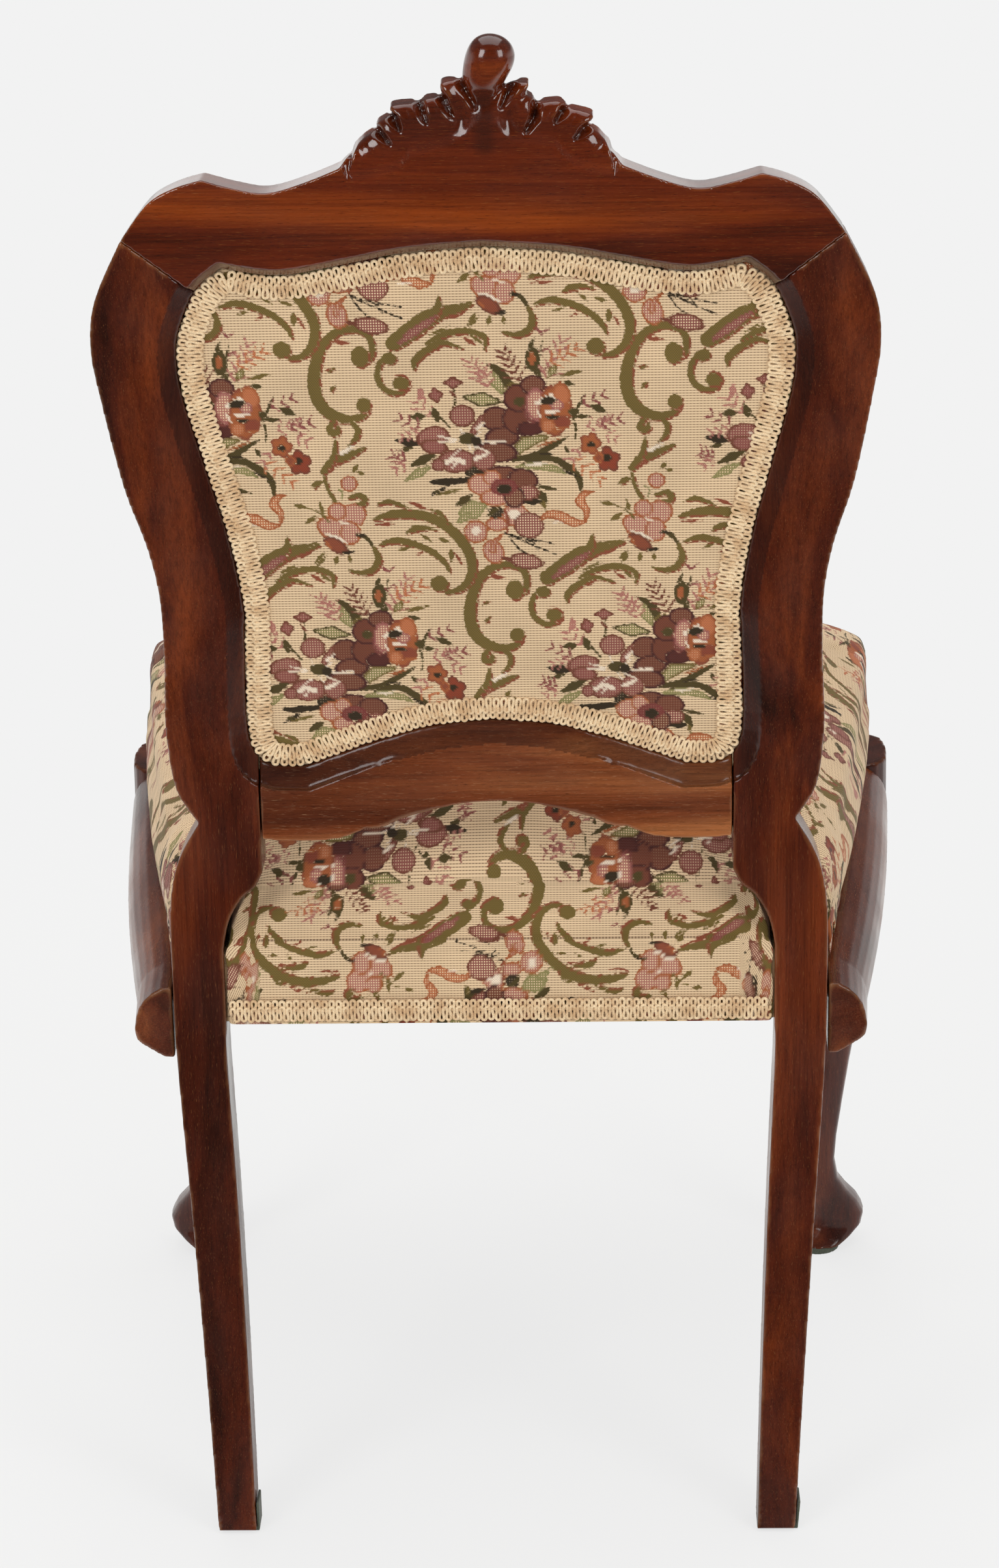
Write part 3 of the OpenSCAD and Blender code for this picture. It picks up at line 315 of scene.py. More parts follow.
def polished_walnut(name, axis, dark, middle, light, fleck_wear_and_highlight, fleck=0.35, rough=0.2, coat=0.2):
    """French-polished walnut: a dark open-pored wood under a thin, warm gloss.
    Broad bands of colour, fine drawn-out streaks and short pore flecks follow the grain;
    the arrises are lighter, partly from wearing and partly as a painted highlight, and the
    hollows are darker, partly from wax and partly as painted shade."""
    material, tree = new_material(name)
    broad = add(tree, "TexNoise", Vector=along(tree, axis, 42, 420), Scale=1.0, Detail=4.0, Roughness=0.55,
                Distortion=0.6)
    colour = ramp(tree, broad.outputs[0], (0.32, dark), (0.5, middle), (0.68, light))
    streak = add(tree, "TexNoise", Vector=along(tree, axis, 1.4, 60), Scale=1.0, Detail=6.0, Roughness=0.6,
                 Distortion=0.25)
    shade = ramp(tree, streak.outputs[0], (0.3, grey(0.62)), (0.52, grey(1.0)), (0.75, grey(1.28)))
    colour = blend_colour(tree, "MULTIPLY", 0.85, colour, shade)
    pores = add(tree, "TexNoise", Vector=along(tree, axis, 0.4, 6), Scale=1.0, Detail=2.0, Roughness=0.5)
    flecks = ramp(tree, pores.outputs[0], (0.63, grey(0)), (0.72, grey(1)))
    share = add(tree, "Math", product, i0=flecks, i1=fleck)
    colour = blend_colour(tree, "MIX", share.outputs[0], colour, linear(fleck_wear_and_highlight))
    pits = ramp(tree, pores.outputs[0], (0.3, grey(1)), (0.37, grey(0)))
    share = add(tree, "Math", product, i0=pits, i1=0.5)
    colour = blend_colour(tree, "MULTIPLY", share.outputs[0], colour, linear("#3a2018"))
    # Painted light by curvature: bulging arrises turn lighter, partly from wearing and partly as a painted
    # highlight, and hollows turn dark brown, partly from wax and partly as painted shade
    wear_and_painted_light = add(tree, "Attribute", {"attribute_name": "wear_and_painted_light"})
    patchy = add(tree, "TexNoise", Vector=along(tree, axis, 9, 22), Scale=1.0, Detail=3.0)
    # Painted highlight, partly real wearing: the arrises turn lighter in patches
    rubbed_and_highlit = add(tree, "MapRange", Value=wear_and_painted_light.outputs["Fac"], From_Min=0.25, From_Max=1.1)
    rubbed_and_highlit = add(tree, "Math", product, i0=rubbed_and_highlit.outputs[0], i1=patchy.outputs[0])
    colour = blend_colour(tree, "MIX", rubbed_and_highlit.outputs[0], colour, linear(fleck_wear_and_highlight))
    # Painted shade, partly wax: the hollows, the bevel and the cuts of the carving turn dark brown
    waxed_and_shaded = add(tree, "MapRange", Value=wear_and_painted_light.outputs["Fac"], From_Min=-0.12, From_Max=-0.7, To_Max=0.8)
    colour = blend_colour(tree, "MIX", waxed_and_shaded.outputs[0], colour, linear("#1a0c08"))
    smear = add(tree, "TexNoise", Vector=along(tree, axis, 30, 60), Scale=1.0, Detail=5.0)
    gloss = add(tree, "MapRange", Value=smear.outputs[0], From_Min=0.3, From_Max=0.7, To_Min=rough - 0.05,
                To_Max=rough + 0.14)
    height = add(tree, "Math", {"operation": "MULTIPLY_ADD"}, i0=streak.outputs[0], i1=0.6, i2=flecks)
    relief = add(tree, "Bump", Strength=0.16, Distance=0.0002, Height=height.outputs[0])
    wood = add(tree, "BsdfPrincipled", Base_Color=colour, Roughness=gloss.outputs[0],
               Normal=relief.outputs[0], Coat_Weight=coat, Coat_Roughness=0.1, Specular_IOR_Level=0.35)
    add(tree, "OutputMaterial", Surface=wood.outputs[0])
    return material


def ring_lines(node, towards):
    """The outlines of a packed braid's face that looks one way, as points, longest first."""
    source = merged_copy(node)
    source.normal_update()
    keep = {f for f in source.faces if f.normal.dot(towards) > 0.9}
    left = {e for e in source.edges if sum(f in keep for f in e.link_faces) == 1}
    loops = []
    while left:
        edge = left.pop()
        loop = [edge.verts[0], edge.verts[1]]
        while True:
            more = next((e for e in loop[-1].link_edges if e in left), None)
            if more is None:
                break
            left.discard(more)
            loop.append(more.other_vert(loop[-1]))
        loops.append(np.array([tuple(v.co) for v in loop[:-1]]))
    source.free()
    return sorted(loops, key=loop_length, reverse=True)


def loop_length(loop):
    return float(np.linalg.norm(np.roll(loop, -1, 0) - loop, axis=1).sum())


def even_line(line, spacing):
    """Points at even spacing on a closed line, and the line's length."""
    closed = np.vstack([line, line[:1]])
    run = np.concatenate([[0], np.cumsum(np.linalg.norm(np.diff(closed, axis=0), axis=1))])
    count = int(round(run[-1] / spacing))
    at = np.arange(count) * run[-1] / count
    return np.stack([np.interp(at, run, closed[:, k]) for k in range(3)], 1), run[-1]


def flat_of(points):
    """Points on the back's own plane: across it and up it."""
    return np.stack([points[:, 0], points @ np.array(back_up)], 1)


rake = math.radians(13)
back_up = Vector((0, math.sin(rake), math.cos(rake)))
back_out = Vector((0, math.cos(rake), -math.sin(rake)))
outer_line, inner_line = ring_lines("back_braid", back_out)[:2]
face_plane, ledge_plane, step_up = 0.0481, 0.03713, 0.005
lip_wide = 0.0123
# How far from the opening's line the lip is spared from rubbing, and how far the painted shade on the bevel
# reaches
lip_reach, shaded_bevel_reach = 0.019, 0.0145
# The rear face is flat down to the top of the bend, then an arc that ends upright
bend_top, bend_high, bend_radius = 0.5675, 0.1125, 0.5
bend_top_y, bend_foot_y = 0.18044, 0.16763


def rear_face(up, out):
    """How far out the rear face of the back lies at points given up the back's plane."""
    for _ in range(6):
        z = up * back_up.z + out * back_out.z
        drop = np.clip(bend_top - z, 0, bend_high)
        curve = bend_radius - np.sqrt(bend_radius ** 2 - (bend_high - drop) ** 2)
        raked = bend_top_y + (z - bend_top) * math.tan(rake)
        y = np.where(drop > 0, bend_foot_y + curve, raked)
        out = (y - up * back_up.y) / back_out.y
    return out


def opening_line():
    """The ledge's outer line on the back's plane, and the way out of the opening at each
    of its points, drawn out at the corners so that an offset keeps its width there."""
    plan = flat_of(outer_line)
    if np.cross(plan, np.roll(plan, -1, 0)).sum() < 0:
        plan = plan[::-1]
    sides = []
    for step in (plan - np.roll(plan, 1, 0), np.roll(plan, -1, 0) - plan):
        sides.append(np.stack([step[:, 1], -step[:, 0]], 1) / np.linalg.norm(step, axis=1)[:, None])
    away = sides[0] + sides[1]
    return plan, away * (2 / np.maximum((away ** 2).sum(1), 0.6))[:, None]


def off_plane(plan, out):
    """Points of the back's plane, put out from it."""
    return np.outer(plan[:, 0], (1, 0, 0)) + np.outer(plan[:, 1], back_up) \
        + np.outer(np.broadcast_to(out, len(plan)), back_out)


def loft(made, rings, closed):
    """Skins a run of closed rings of points; an open run gets two end caps."""
    rings = [[made.verts.new(point) for point in ring] for ring in rings]
    following = rings[1:] + rings[:1] if closed else rings[1:]
    for one, two in zip(rings, following):
        for a, b, c, d in zip(one, one[1:] + one[:1], two[1:] + two[:1], two):
            made.faces.new((a, b, c, d))
    if not closed:
        made.faces.new(rings[0])
        made.faces.new(rings[-1][::-1])
    bmesh.ops.recalc_face_normals(made, faces=made.faces)


def lip_cutter():
    """What a router takes away round the opening: the flat ledge, its step and the bevel."""
    plan, away = opening_line()
    wall, lip, within = plan + away * 0.0003, plan + away * lip_wide, plan - away * 0.012
    over = rear_face(lip[:, 1], np.full(len(lip), face_plane)) + 0.006
    rows = [off_plane(within, ledge_plane), off_plane(wall, ledge_plane),
            off_plane(wall, ledge_plane + step_up), off_plane(lip, face_plane), off_plane(lip, over),
            off_plane(within, over)]
    made = bmesh.new()
    loft(made, [[row[k] for row in rows] for k in range(len(plan))], True)
    return add_object("router_path", made)


def shade_bevel(mesh):
    """Paints shade dark on the bevel, and keeps the lip from turning lighter: both lower the stored value."""
    points = points_of(mesh)
    plan = flat_of(points)
    recess = rear_face(plan[:, 1], np.full(len(plan), face_plane)) - points @ np.array(back_out)
    close = np.nonzero((np.abs(recess) < 0.0125) & (points[:, 1] > 0.15) & (points[:, 2] < 0.93))[0]
    line = flat_of(even_line(outer_line, 0.004)[0])
    gap = np.array([np.hypot(*(line - spot).T).min() for spot in plan[close]])
    wear_and_painted_light = wear_and_painted_light_of(mesh)
    lip = close[gap < lip_reach]
    wear_and_painted_light[lip] = np.minimum(wear_and_painted_light[lip], 0.1)
    # Painted shade: the bevel round the opening is darkened
    bevel = close[(gap < shaded_bevel_reach) & (recess[close] > 0.0006)]
    wear_and_painted_light[bevel] = np.minimum(wear_and_painted_light[bevel], -0.46)
    mesh.attributes["wear_and_painted_light"].data.foreach_set("value", wear_and_painted_light)


def cut_away(piece, cutter):
    """Cuts another object's shape out of a piece."""
    cut = piece.modifiers.new("cut", "BOOLEAN")
    cut.operation = "DIFFERENCE"
    cut.solver = "EXACT"
    cut.object = cutter
    apply_modifiers(piece)


router_path = lip_cutter()
stile_walnut = polished_walnut("polished_walnut_upright_grain", 2, "#220b05", "#4a1a09", "#6f2f10", "#9a6438",
                               fleck=0.25)
wood_grain = 0.0014
for side in ("left", "right"):
    piece = add_object(side + "_stile_polished", merged_copy(side + "_stile"))
    cut_away(piece, router_path)
    fuse(piece, wood_grain)
    finish_skin(piece, stile_walnut)
    shade_bevel(piece.data)
    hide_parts(side + "_stile")
    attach(piece, "root")

# Lower back rail
# An arched walnut rail tenoned between the stiles under the panel, with the same bevel
# round the opening and its grain along its length.

rail_walnut = polished_walnut("rubbed_walnut_long_grain", 0, "#42190a", "#6f3618", "#9a5c32", "#bb9068",
                              fleck=0.25)
# The section of the sill under the opening, from its rear bevel over the ledge and the sight
# line to the front bevel and its foot in the rail: way out of the opening, height off the plane
sill_section = ((0.0119, 0.047), (0.0003, ledge_plane + step_up), (0.0003, ledge_plane),
                (-0.0152, ledge_plane), (-0.0152, 0.0241), (0.0003, 0.0238), (0.0103, 0.018),
                (0.03, 0.0215), (0.03, 0.043))
rail_mesh = merged_copy("lower_back_rail")
plan, away = opening_line()
sill = np.nonzero((np.abs(plan[:, 0]) < 0.117) & (plan[:, 1] < 0.65))[0]
sill = sill[np.argsort(plan[sill, 0])]
rows = [off_plane(plan[sill] + away[sill] * (0, 1) * reach, height) for reach, height in sill_section]
loft(rail_mesh, [[row[k] for row in rows] for k in range(len(sill))], False)
piece = add_object("lower_back_rail_polished", rail_mesh)
fuse(piece, wood_grain)
cut_away(piece, router_path)
fuse(piece, wood_grain)
points = points_of(piece.data)
# The arch under the rail is drawn down to one plain shallow curve
from_middle = np.abs(points[:, 0]) * 1000
lowered = (2, 2.5, 4, 6, 8, 8.4, 4.7, 1.4, 0)
lower = np.interp(from_middle, (0, 14, 28, 42, 56, 70, 78, 83, 92), lowered) / 1000
arch = np.interp(from_middle, (0, 42, 80, 92, 160), (497, 494.3, 479.9, 470, 468)) / 1000
still = 0.522
points[:, 2] -= lower * np.clip((still - points[:, 2]) / (still - arch), 0, 1)
# A fine dark line shows where each shoulder meets its stile
shoulder = (from_middle > 149.4) & (from_middle < 151.6)
points[shoulder, 0] -= np.sign(points[shoulder, 0]) * 0.0007
set_points(piece.data, points)
finish_skin(piece, rail_walnut, passes=9)
shade_bevel(piece.data)
bpy.data.objects.remove(router_path)
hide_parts("lower_back_rail")
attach(piece, "root")

# Crest rail
# A shaped walnut rail mitred and dowelled on the stiles. Its middle is carved by hand with
# leaves round a pear-shaped finial.

crest_walnut = polished_walnut("polished_walnut_crest_grain", 0, "#300d03", "#5c2008", "#82370c", "#a5682f",
                               fleck=0.2, rough=0.14, coat=0.9)


def smooth_line(points, between=3):
    """A smooth line through given points."""
    ends = [points[0]] + list(points) + [points[-1]]
    line = []
    for a, b, c, d in zip(ends, ends[1:], ends[2:], ends[3:]):
        for k in range(between):
            t = k / between
            line.append([0.5 * (2 * b[i] + (c[i] - a[i]) * t + (2 * a[i] - 5 * b[i] + 4 * c[i] - d[i]) * t * t
                                + (3 * b[i] - a[i] - 3 * c[i] + d[i]) * t ** 3) for i in (0, 1)])
    return np.array(line + [points[-1]])


# The carving's outline from the sitter's left to right, in mm across and up
leaf_line = [(75.5, 915.6), (74.6, 920.3), (73.1, 924.2), (70.8, 928), (67.5, 931.3), (63.7, 933.7),
             (59, 936.4), (60.1, 939.2), (58.1, 940.9), (54.3, 943.1), (50, 944.2), (51.9, 949.2),
             (50, 950.4), (44.8, 951.1), (34.9, 951.6), (33.5, 952.3), (31.6, 953.7), (27.9, 954.5),
             (21.3, 954.7), (22.4, 962.3), (21.3, 963.5), (17.5, 964.4), (9.5, 964.4), (2, 958),
             (-10, 958), (-19.1, 962.5), (-24, 963), (-29, 962.8), (-27.8, 959.9), (-25.9, 955.7),
             (-28.7, 954.9), (-31.1, 953.3), (-32.5, 950.4), (-33, 950.1), (-39.1, 951.4), (-45.3, 951.8),
             (-50.2, 949.5), (-48.5, 947.1), (-50, 947.5), (-57, 946.1), (-63.6, 944.2), (-65.8, 942.8),
             (-63.6, 939.4), (-61.8, 937), (-64.6, 935.6), (-68.4, 932.8), (-72.1, 928.5), (-74.6, 924.2),
             (-75.8, 919.4), (-76.2, 914.5)]
# The gable line, where the leaves rise from the flat of the rail
gable_line = [(78.8, 905.6), (56.2, 908.9), (44.8, 913.7), (41.1, 919.4), (27.9, 923.2), (16.5, 927),
              (4, 938), (-2.3, 942.3), (-11.8, 936.6), (-17.4, 928.9), (-30.6, 927), (-42.9, 925.1),
              (-47.6, 919.4), (-53.3, 913.7), (-64.6, 908.9), (-78.4, 906)]
# Deep cuts between the leaves, and the shallow vein of each leaf
cuts = [((59, 936.4), (52.4, 930.4)), ((50, 944.2), (46.3, 938.5)), ((34.9, 951.6), (30.9, 942.8)),
        ((21.3, 954.7), (15.8, 946.1)), ((9.5, 963.3), (2.9, 951.4)), ((-19.1, 961.9), (-13.2, 951.4)),
        ((-32.5, 950.4), (-31.6, 944.2)), ((-31.6, 944.2), (-26.9, 937)), ((-48.5, 947.1), (-43.8, 942.3)),
        ((-61.8, 937), (-55.2, 932.3))]
veins = [((68, 930), (58, 920)), ((56, 941.5), (49, 932)), ((43, 949.5), (37, 937)), ((27, 953), (21, 939)),
         ((16, 962.5), (8, 948)), ((-25, 961), (-16, 947)), ((-29, 953.5), (-22, 941)),
         ((-41, 950), (-33, 936)), ((-57, 945), (-48, 935)), ((-71, 928), (-60, 919))]
# The finial's height, middle and half width, turned by hand and not quite true
finial_rows = [(934, -2.2, 5.5), (945, -2.4, 6.6), (953, -2.6, 7.6), (959.5, -2.5, 10.4), (965.5, -3.4, 12.9),
               (972, -5.4, 14.3), (978, -6.6, 14.2), (983.3, -6.9, 12.3), (987.1, -6.6, 8.9),
               (989.2, -6.3, 4.6), (989.9, -6.1, 1)]
carving_grain = 0.001


def to_segment(points, start, end):
    """Distance to a segment and the share along it, for points in two columns."""
    start, step = np.array(start), np.array(end) - np.array(start)
    share = np.clip(((points - start) @ step) / (step @ step), 0, 1)
    return np.hypot(*(points - start - share[:, None] * step).T), share


crest_mesh = merged_copy("crest_rail")
flats = [v.co.dot(back_out) for v in crest_mesh.verts if abs(v.co.x) < 0.06 and 0.86 < v.co.z < 0.9]
half_thick = (max(flats) - min(flats)) / 2
mid_plane = (max(flats) + min(flats)) / 2


def on_plate(x, z, out):
    """A place on the crest, from mm across and up on its middle plane and metres out of it."""
    middle = Vector((x / 1000, 0, z / 1000))
    middle.y = (mid_plane - middle.z * back_out.z) / back_out.y
    return middle + back_out * out


def on_gable(across):
    """The height of the gable line at places across the rail, in mm."""
    reach, height = np.array(gable_line[::-1]).T
    return np.interp(across, reach, height)


piece = add_object("crest_rail_carved", crest_mesh)
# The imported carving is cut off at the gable, and a sawn blank for the leaves takes its place
waste = bmesh.new()
bmesh.ops.create_cube(waste, size=1)
bmesh.ops.scale(waste, vec=(0.1528, 0.4, 0.2), verts=waste.verts)
bmesh.ops.translate(waste, vec=(0, 0.26, 1.0045), verts=waste.verts)
waste = add_object("waste", waste)
cut_away(piece, waste)
bpy.data.objects.remove(waste)
crest_mesh = bmesh.new()
crest_mesh.from_mesh(piece.data)
outline = leaf_line + [(-74, 902), (74, 902)]
sides = [[crest_mesh.verts.new(on_plate(x, z, out)) for x, z in outline] for out in (-half_thick, half_thick)]
crest_mesh.faces.new(sides[0])
crest_mesh.faces.new(sides[1][::-1])
for a, b, c, d in zip(sides[0], sides[0][1:] + sides[0][:1], sides[1][1:] + sides[1][:1], sides[1]):
    crest_mesh.faces.new((a, b, c, d))
bmesh.ops.recalc_face_normals(crest_mesh, faces=crest_mesh.faces)
crest_mesh.to_mesh(piece.data)
crest_mesh.free()
fuse(piece, carving_grain)
points = points_of(piece.data)
out = points @ np.array(back_out) - mid_plane
sheet = points - np.outer(out, back_out)
plan = np.stack([sheet[:, 0], sheet[:, 2]], 1) * 1000
near = np.nonzero((np.abs(plan[:, 0]) < 80) & (plan[:, 1] > on_gable(plan[:, 0])))[0]
spot = plan[near]
# The leaves are scooped below the flat of the rail and thin towards their outline
thick = half_thick * 1000
scoop = np.clip((spot[:, 1] - on_gable(spot[:, 0])) / 13, 0, 1)
full = thick - 3.2 * scoop * scoop * (3 - 2 * scoop)
rim = np.min([to_segment(spot, a, b)[0] for a, b in zip(leaf_line[3:], leaf_line[4:-3])], 0)
depth = 5 + (full - 5) * np.sin(np.clip(rim / 10, 0, 1) * math.pi / 2) ** 0.7
for lines, deep, wide in ((cuts, 9, 3.8), (veins, 0.7, 1.6)):
    for start, end in lines:
        gap, share = to_segment(spot, start, end)
        depth -= deep * (1 - 0.55 * share) * np.clip(1 - gap / (wide * (1 - 0.4 * share)), 0, 1)
# A hollow runs round the finial's foot
around = np.hypot((spot[:, 0] + 3) / 1.1, np.maximum(spot[:, 1] - 958, 0))
depth -= 3 * np.exp(-((around - 13) / 4) ** 2) * np.clip((spot[:, 1] - 936) / 8, 0, 1)
kept = np.clip((80 - np.abs(spot[:, 0])) / 5, 0, 1)
points[near] += np.outer(out[near] * (np.maximum(depth, 2.2) / thick - 1) * kept, back_out)
set_points(piece.data, points)
crest_mesh = bmesh.new()
crest_mesh.from_mesh(piece.data)
heights, middles, widths = (smooth_line([(row[0], row[k]) for row in finial_rows], 4)[:, 1]
                            for k in (0, 1, 2))
turned = []
for z, x, wide in zip(heights, middles, widths):
    deep = wide * 0.95 if z > 960 else max(wide, 10.8)
    turns = [k * math.pi / 16 for k in range(32)]
    turned.append([on_plate(x + wide * math.cos(turn), z, deep / 1000 * math.sin(turn)) for turn in turns])
loft(crest_mesh, turned, False)
crest_mesh.to_mesh(piece.data)
crest_mesh.free()
fuse(piece, carving_grain)
finish_skin(piece, crest_walnut, passes=2)
shade_bevel(piece.data)
# Painted shade: the cuts between the leaves and the stem under the finial are darkened
points = points_of(piece.data)
sheet = points - np.outer(points @ np.array(back_out) - mid_plane, back_out)
carved = np.nonzero((np.abs(points[:, 0]) < 0.08) & (sheet[:, 2] > 0.9))[0]
spot = np.stack([sheet[carved, 0], sheet[carved, 2]], 1) * 1000
gap = np.min([to_segment(spot, a, b)[0] for a, b in cuts], 0)
stem = to_segment(spot, (-2.5, 956), (-2.5, 930))[0]
cut_shade = np.maximum(0.46 * np.clip(1.3 - gap / 2, 0, 1), 0.42 * np.clip(1.4 - stem / 7, 0, 1))
wear_and_painted_light = wear_and_painted_light_of(piece.data)
wear_and_painted_light[carved] = np.where(cut_shade > 0.1, np.minimum(wear_and_painted_light[carved], -cut_shade), wear_and_painted_light[carved])
piece.data.attributes["wear_and_painted_light"].data.foreach_set("value", wear_and_painted_light)
thin = piece.modifiers.new("thin", "DECIMATE")
thin.ratio = 180000 / (2 * len(piece.data.polygons))
apply_modifiers(piece)
piece.data.shade_smooth()
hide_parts("crest_rail")
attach(piece, "root")

# Seat frame
# Four beech rails, dowelled together and into the legs. They are planed, not polished, and
# show only from below and where the covers end.


def planed_beech(name, axis):
    """Planed beech: pale pinkish brown, with short dark ray flecks along the grain."""
    material, tree = new_material(name)
    broad = add(tree, "TexNoise", Vector=along(tree, axis, 30, 300), Scale=1.0, Detail=4.0)
    colour = ramp(tree, broad.outputs[0], (0.35, "#b98d5f"), (0.65, "#cfa77a"))
    rays = add(tree, "TexNoise", Vector=along(tree, axis, 0.8, 7), Scale=1.0, Detail=1.0)
    mask = ramp(tree, rays.outputs[0], (0.6, grey(0)), (0.68, grey(0.5)))
    colour = blend_colour(tree, "MIX", mask, colour, linear("#8a5e3c"))
    relief = add(tree, "Bump", Strength=0.2, Distance=0.0002, Height=rays.outputs[0])
    wood = add(tree, "BsdfPrincipled", Base_Color=colour, Roughness=0.6, Normal=relief.outputs[0])
    add(tree, "OutputMaterial", Surface=wood.outputs[0])
    return material


def dress(node, material):
    """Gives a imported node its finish."""
    nodes[node].data.materials.clear()
    nodes[node].data.materials.append(material)


for name, axis in (("rear_seat_rail", 0), ("front_seat_rail", 0), ("left_seat_rail", 1),
                   ("right_seat_rail", 1), ("front_corner_blocks", 0), ("rear_corner_blocks", 0),
                   ("crest_dowels", 2), ("rail_dowels", 1)):
    dress(name, planed_beech("planed_beech_" + name, axis))

# Walnut facings of the rails
# Full, rounded walnut mouldings glued and pinned to the beech rails. Their end grain shows
# at the back, worn pale by handling.

facing_walnut = polished_walnut("polished_walnut_facing_grain", 1, "#35150b", "#552412", "#743a1c", "#a5764c")
front_walnut = polished_walnut("polished_walnut_front_grain", 0, "#35150b", "#552412", "#743a1c", "#a5764c")
for name, finish in (("left_rail_facing", facing_walnut), ("right_rail_facing", facing_walnut),
                     ("front_rail_facing", front_walnut)):
    piece = add_object(name + "_polished", merged_copy(name))
    fuse(piece, wood_grain)
    finish_skin(piece, finish)
    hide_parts(name)
    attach(piece, "root")

# Front legs
# Cabriole legs sawn from a walnut square and shaped with spokeshave and rasp, each ending
# in a scroll foot.

leg_walnut = polished_walnut("polished_walnut_leg_grain", 2, "#280f09", "#4a1e12", "#65301a", "#8d5c3a")
for name in ("left_front_leg", "right_front_leg"):
    piece = add_object(name + "_carved", merged_copy(name))
    fuse(piece, wood_grain)
    finish_skin(piece, leg_walnut)
    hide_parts(name)
    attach(piece, "root")

# Screws and pins
# Steel countersunk screws hold the corner blocks; two cut pins show in the end of each
# facing.


def bright_steel(name, colour):
    """Steel with a dull, blotched oxide bloom."""
    material, tree = new_material(name)
    place = add(tree, "TexCoord")
    bloom = add(tree, "TexNoise", Vector=place.outputs["Object"], Scale=220.0, Detail=4.0)
    shade = ramp(tree, bloom.outputs[0], (0.4, colour), (0.7, "#4a4541"))
    rough = add(tree, "MapRange", Value=bloom.outputs[0], To_Min=0.3, To_Max=0.55)
    metal = add(tree, "BsdfPrincipled", Base_Color=shade, Metallic=1.0, Roughness=rough.outputs[0])
    add(tree, "OutputMaterial", Surface=metal.outputs[0])
    return material


dress("block_screws", bright_steel("zinced_steel_screws", "#a9a8a4"))
dress("facing_pins", bright_steel("rusty_steel_pins", "#8d8378"))

# Springs, webbing and base cloths
# Jute straps are stretched under the frame, five waisted springs stand on them, and
# hessian is tied over the springs. A black dust cloth closes the underside.

dress("seat_springs", bright_steel("copper_washed_spring_wire", "#8f7a68"))


def plain_weave(name, warp, weft, pitch_mm, axes=(0, 1)):
    """Plain woven jute or cotton: threads cross over and under at the given pitch."""
    material, tree = new_material(name)
    place = add(tree, "TexCoord")
    parts = add(tree, "SeparateXYZ", Vector=place.outputs["Object"])
    waves = []
    for axis in axes:
        turn = add(tree, "Math", product, i0=parts.outputs[axis], i1=2000 * math.pi / pitch_mm)
        waves.append(add(tree, "Math", {"operation": "SINE"}, i0=turn.outputs[0]).outputs[0])
    crossing = add(tree, "Math", product, i0=waves[0], i1=waves[1])
    level = add(tree, "MapRange", Value=crossing.outputs[0], From_Min=-1.0)
    colour = ramp(tree, level.outputs[0], (0.2, warp), (0.8, weft))
    hairs = add(tree, "TexNoise", Vector=place.outputs["Object"], Scale=900.0, Detail=3.0)
    shade = ramp(tree, hairs.outputs[0], (0.3, grey(0.6)), (0.7, grey(1.2)))
    colour = blend_colour(tree, "MULTIPLY", 0.5, colour, shade)
    relief = add(tree, "Bump", Strength=0.6, Distance=0.0006, Height=level.outputs[0])
    thread = add(tree, "BsdfPrincipled", Base_Color=colour, Roughness=0.9, Normal=relief.outputs[0])
    add(tree, "OutputMaterial", Surface=thread.outputs[0])
    return material


def hang_sheet(node, ending, material, slack):
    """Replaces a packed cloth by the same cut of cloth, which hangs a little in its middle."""
    made = merged_copy(node)
    low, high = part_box(node)
    for axis in (0, 1):
        for place in np.arange(low[axis] + 0.02, high[axis], 0.02):
            at, facing = [0, 0, 0], [0, 0, 0]
            at[axis], facing[axis] = float(place), 1
            everything = made.verts[:] + made.edges[:] + made.faces[:]
            bmesh.ops.bisect_plane(made, geom=everything, plane_co=at, plane_no=facing, dist=0.00001)
    for vert in made.verts:
        shares = [2 * (vert.co[k] - low[k]) / (high[k] - low[k]) - 1 for k in (0, 1)]
        vert.co.z -= slack * (1 - shares[0] ** 2) * (1 - shares[1] ** 2)
    area = sum(face.calc_area() for face in made.faces) / 2
    hung = add_object(node + ending, made)
    hung.data.materials.clear()
    hung.data.materials.append(material)
    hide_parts(node)
    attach(hung, "root")


hessian = plain_weave("woven_hessian", "#6f5a3a", "#a98f62", 3.0)
jute_strap = plain_weave("woven_jute_strap", "#7d6540", "#b59a6a", 2.4)
back_hessian = plain_weave("woven_hessian_back", "#6f5a3a", "#a98f62", 3.0, (0, 2))
black_lining = plain_weave("black_cotton_lining", "#1b1a1a", "#2e2c2b", 1.2)
hang_sheet("seat_webbing_long", "_straps", jute_strap, 0)
hang_sheet("seat_webbing_cross", "_straps", jute_strap, 0)
hang_sheet("seat_base_cloth", "_hessian", hessian, 0)
hang_sheet("back_base_cloth", "_hessian", back_hessian, 0)
hang_sheet("dust_cover", "_lining", black_lining, 0.004)

# Tapestry cloth
# A machine-woven cotton tapestry: a cream ground with a dark weft line every 1.75 mm, and
# scrolls, ribbons and loose bouquets in a half-drop repeat of 187 by 320 mm. The figures
# are worked out on the cloth's own coordinates, in millimetres.

olive, deep_olive, light_green, dark_leaf = "#74602f", "#514320", "#8d8452", "#382b18"
russet, rust, orange, mauve = "#8d4a32", "#a65c34", "#bd7048", "#8e5048"
pink, burgundy, cream, rose = "#b27466", "#74402e", "#f0dcc4", "#a06058"


def stroke(colour, points, widths, hatch=0, rim=None):
    """A drawn stroke along a line, with its full width at even steps along the line."""
    return ["stroke", colour, hatch, rim or colour, smooth_line(points), widths]


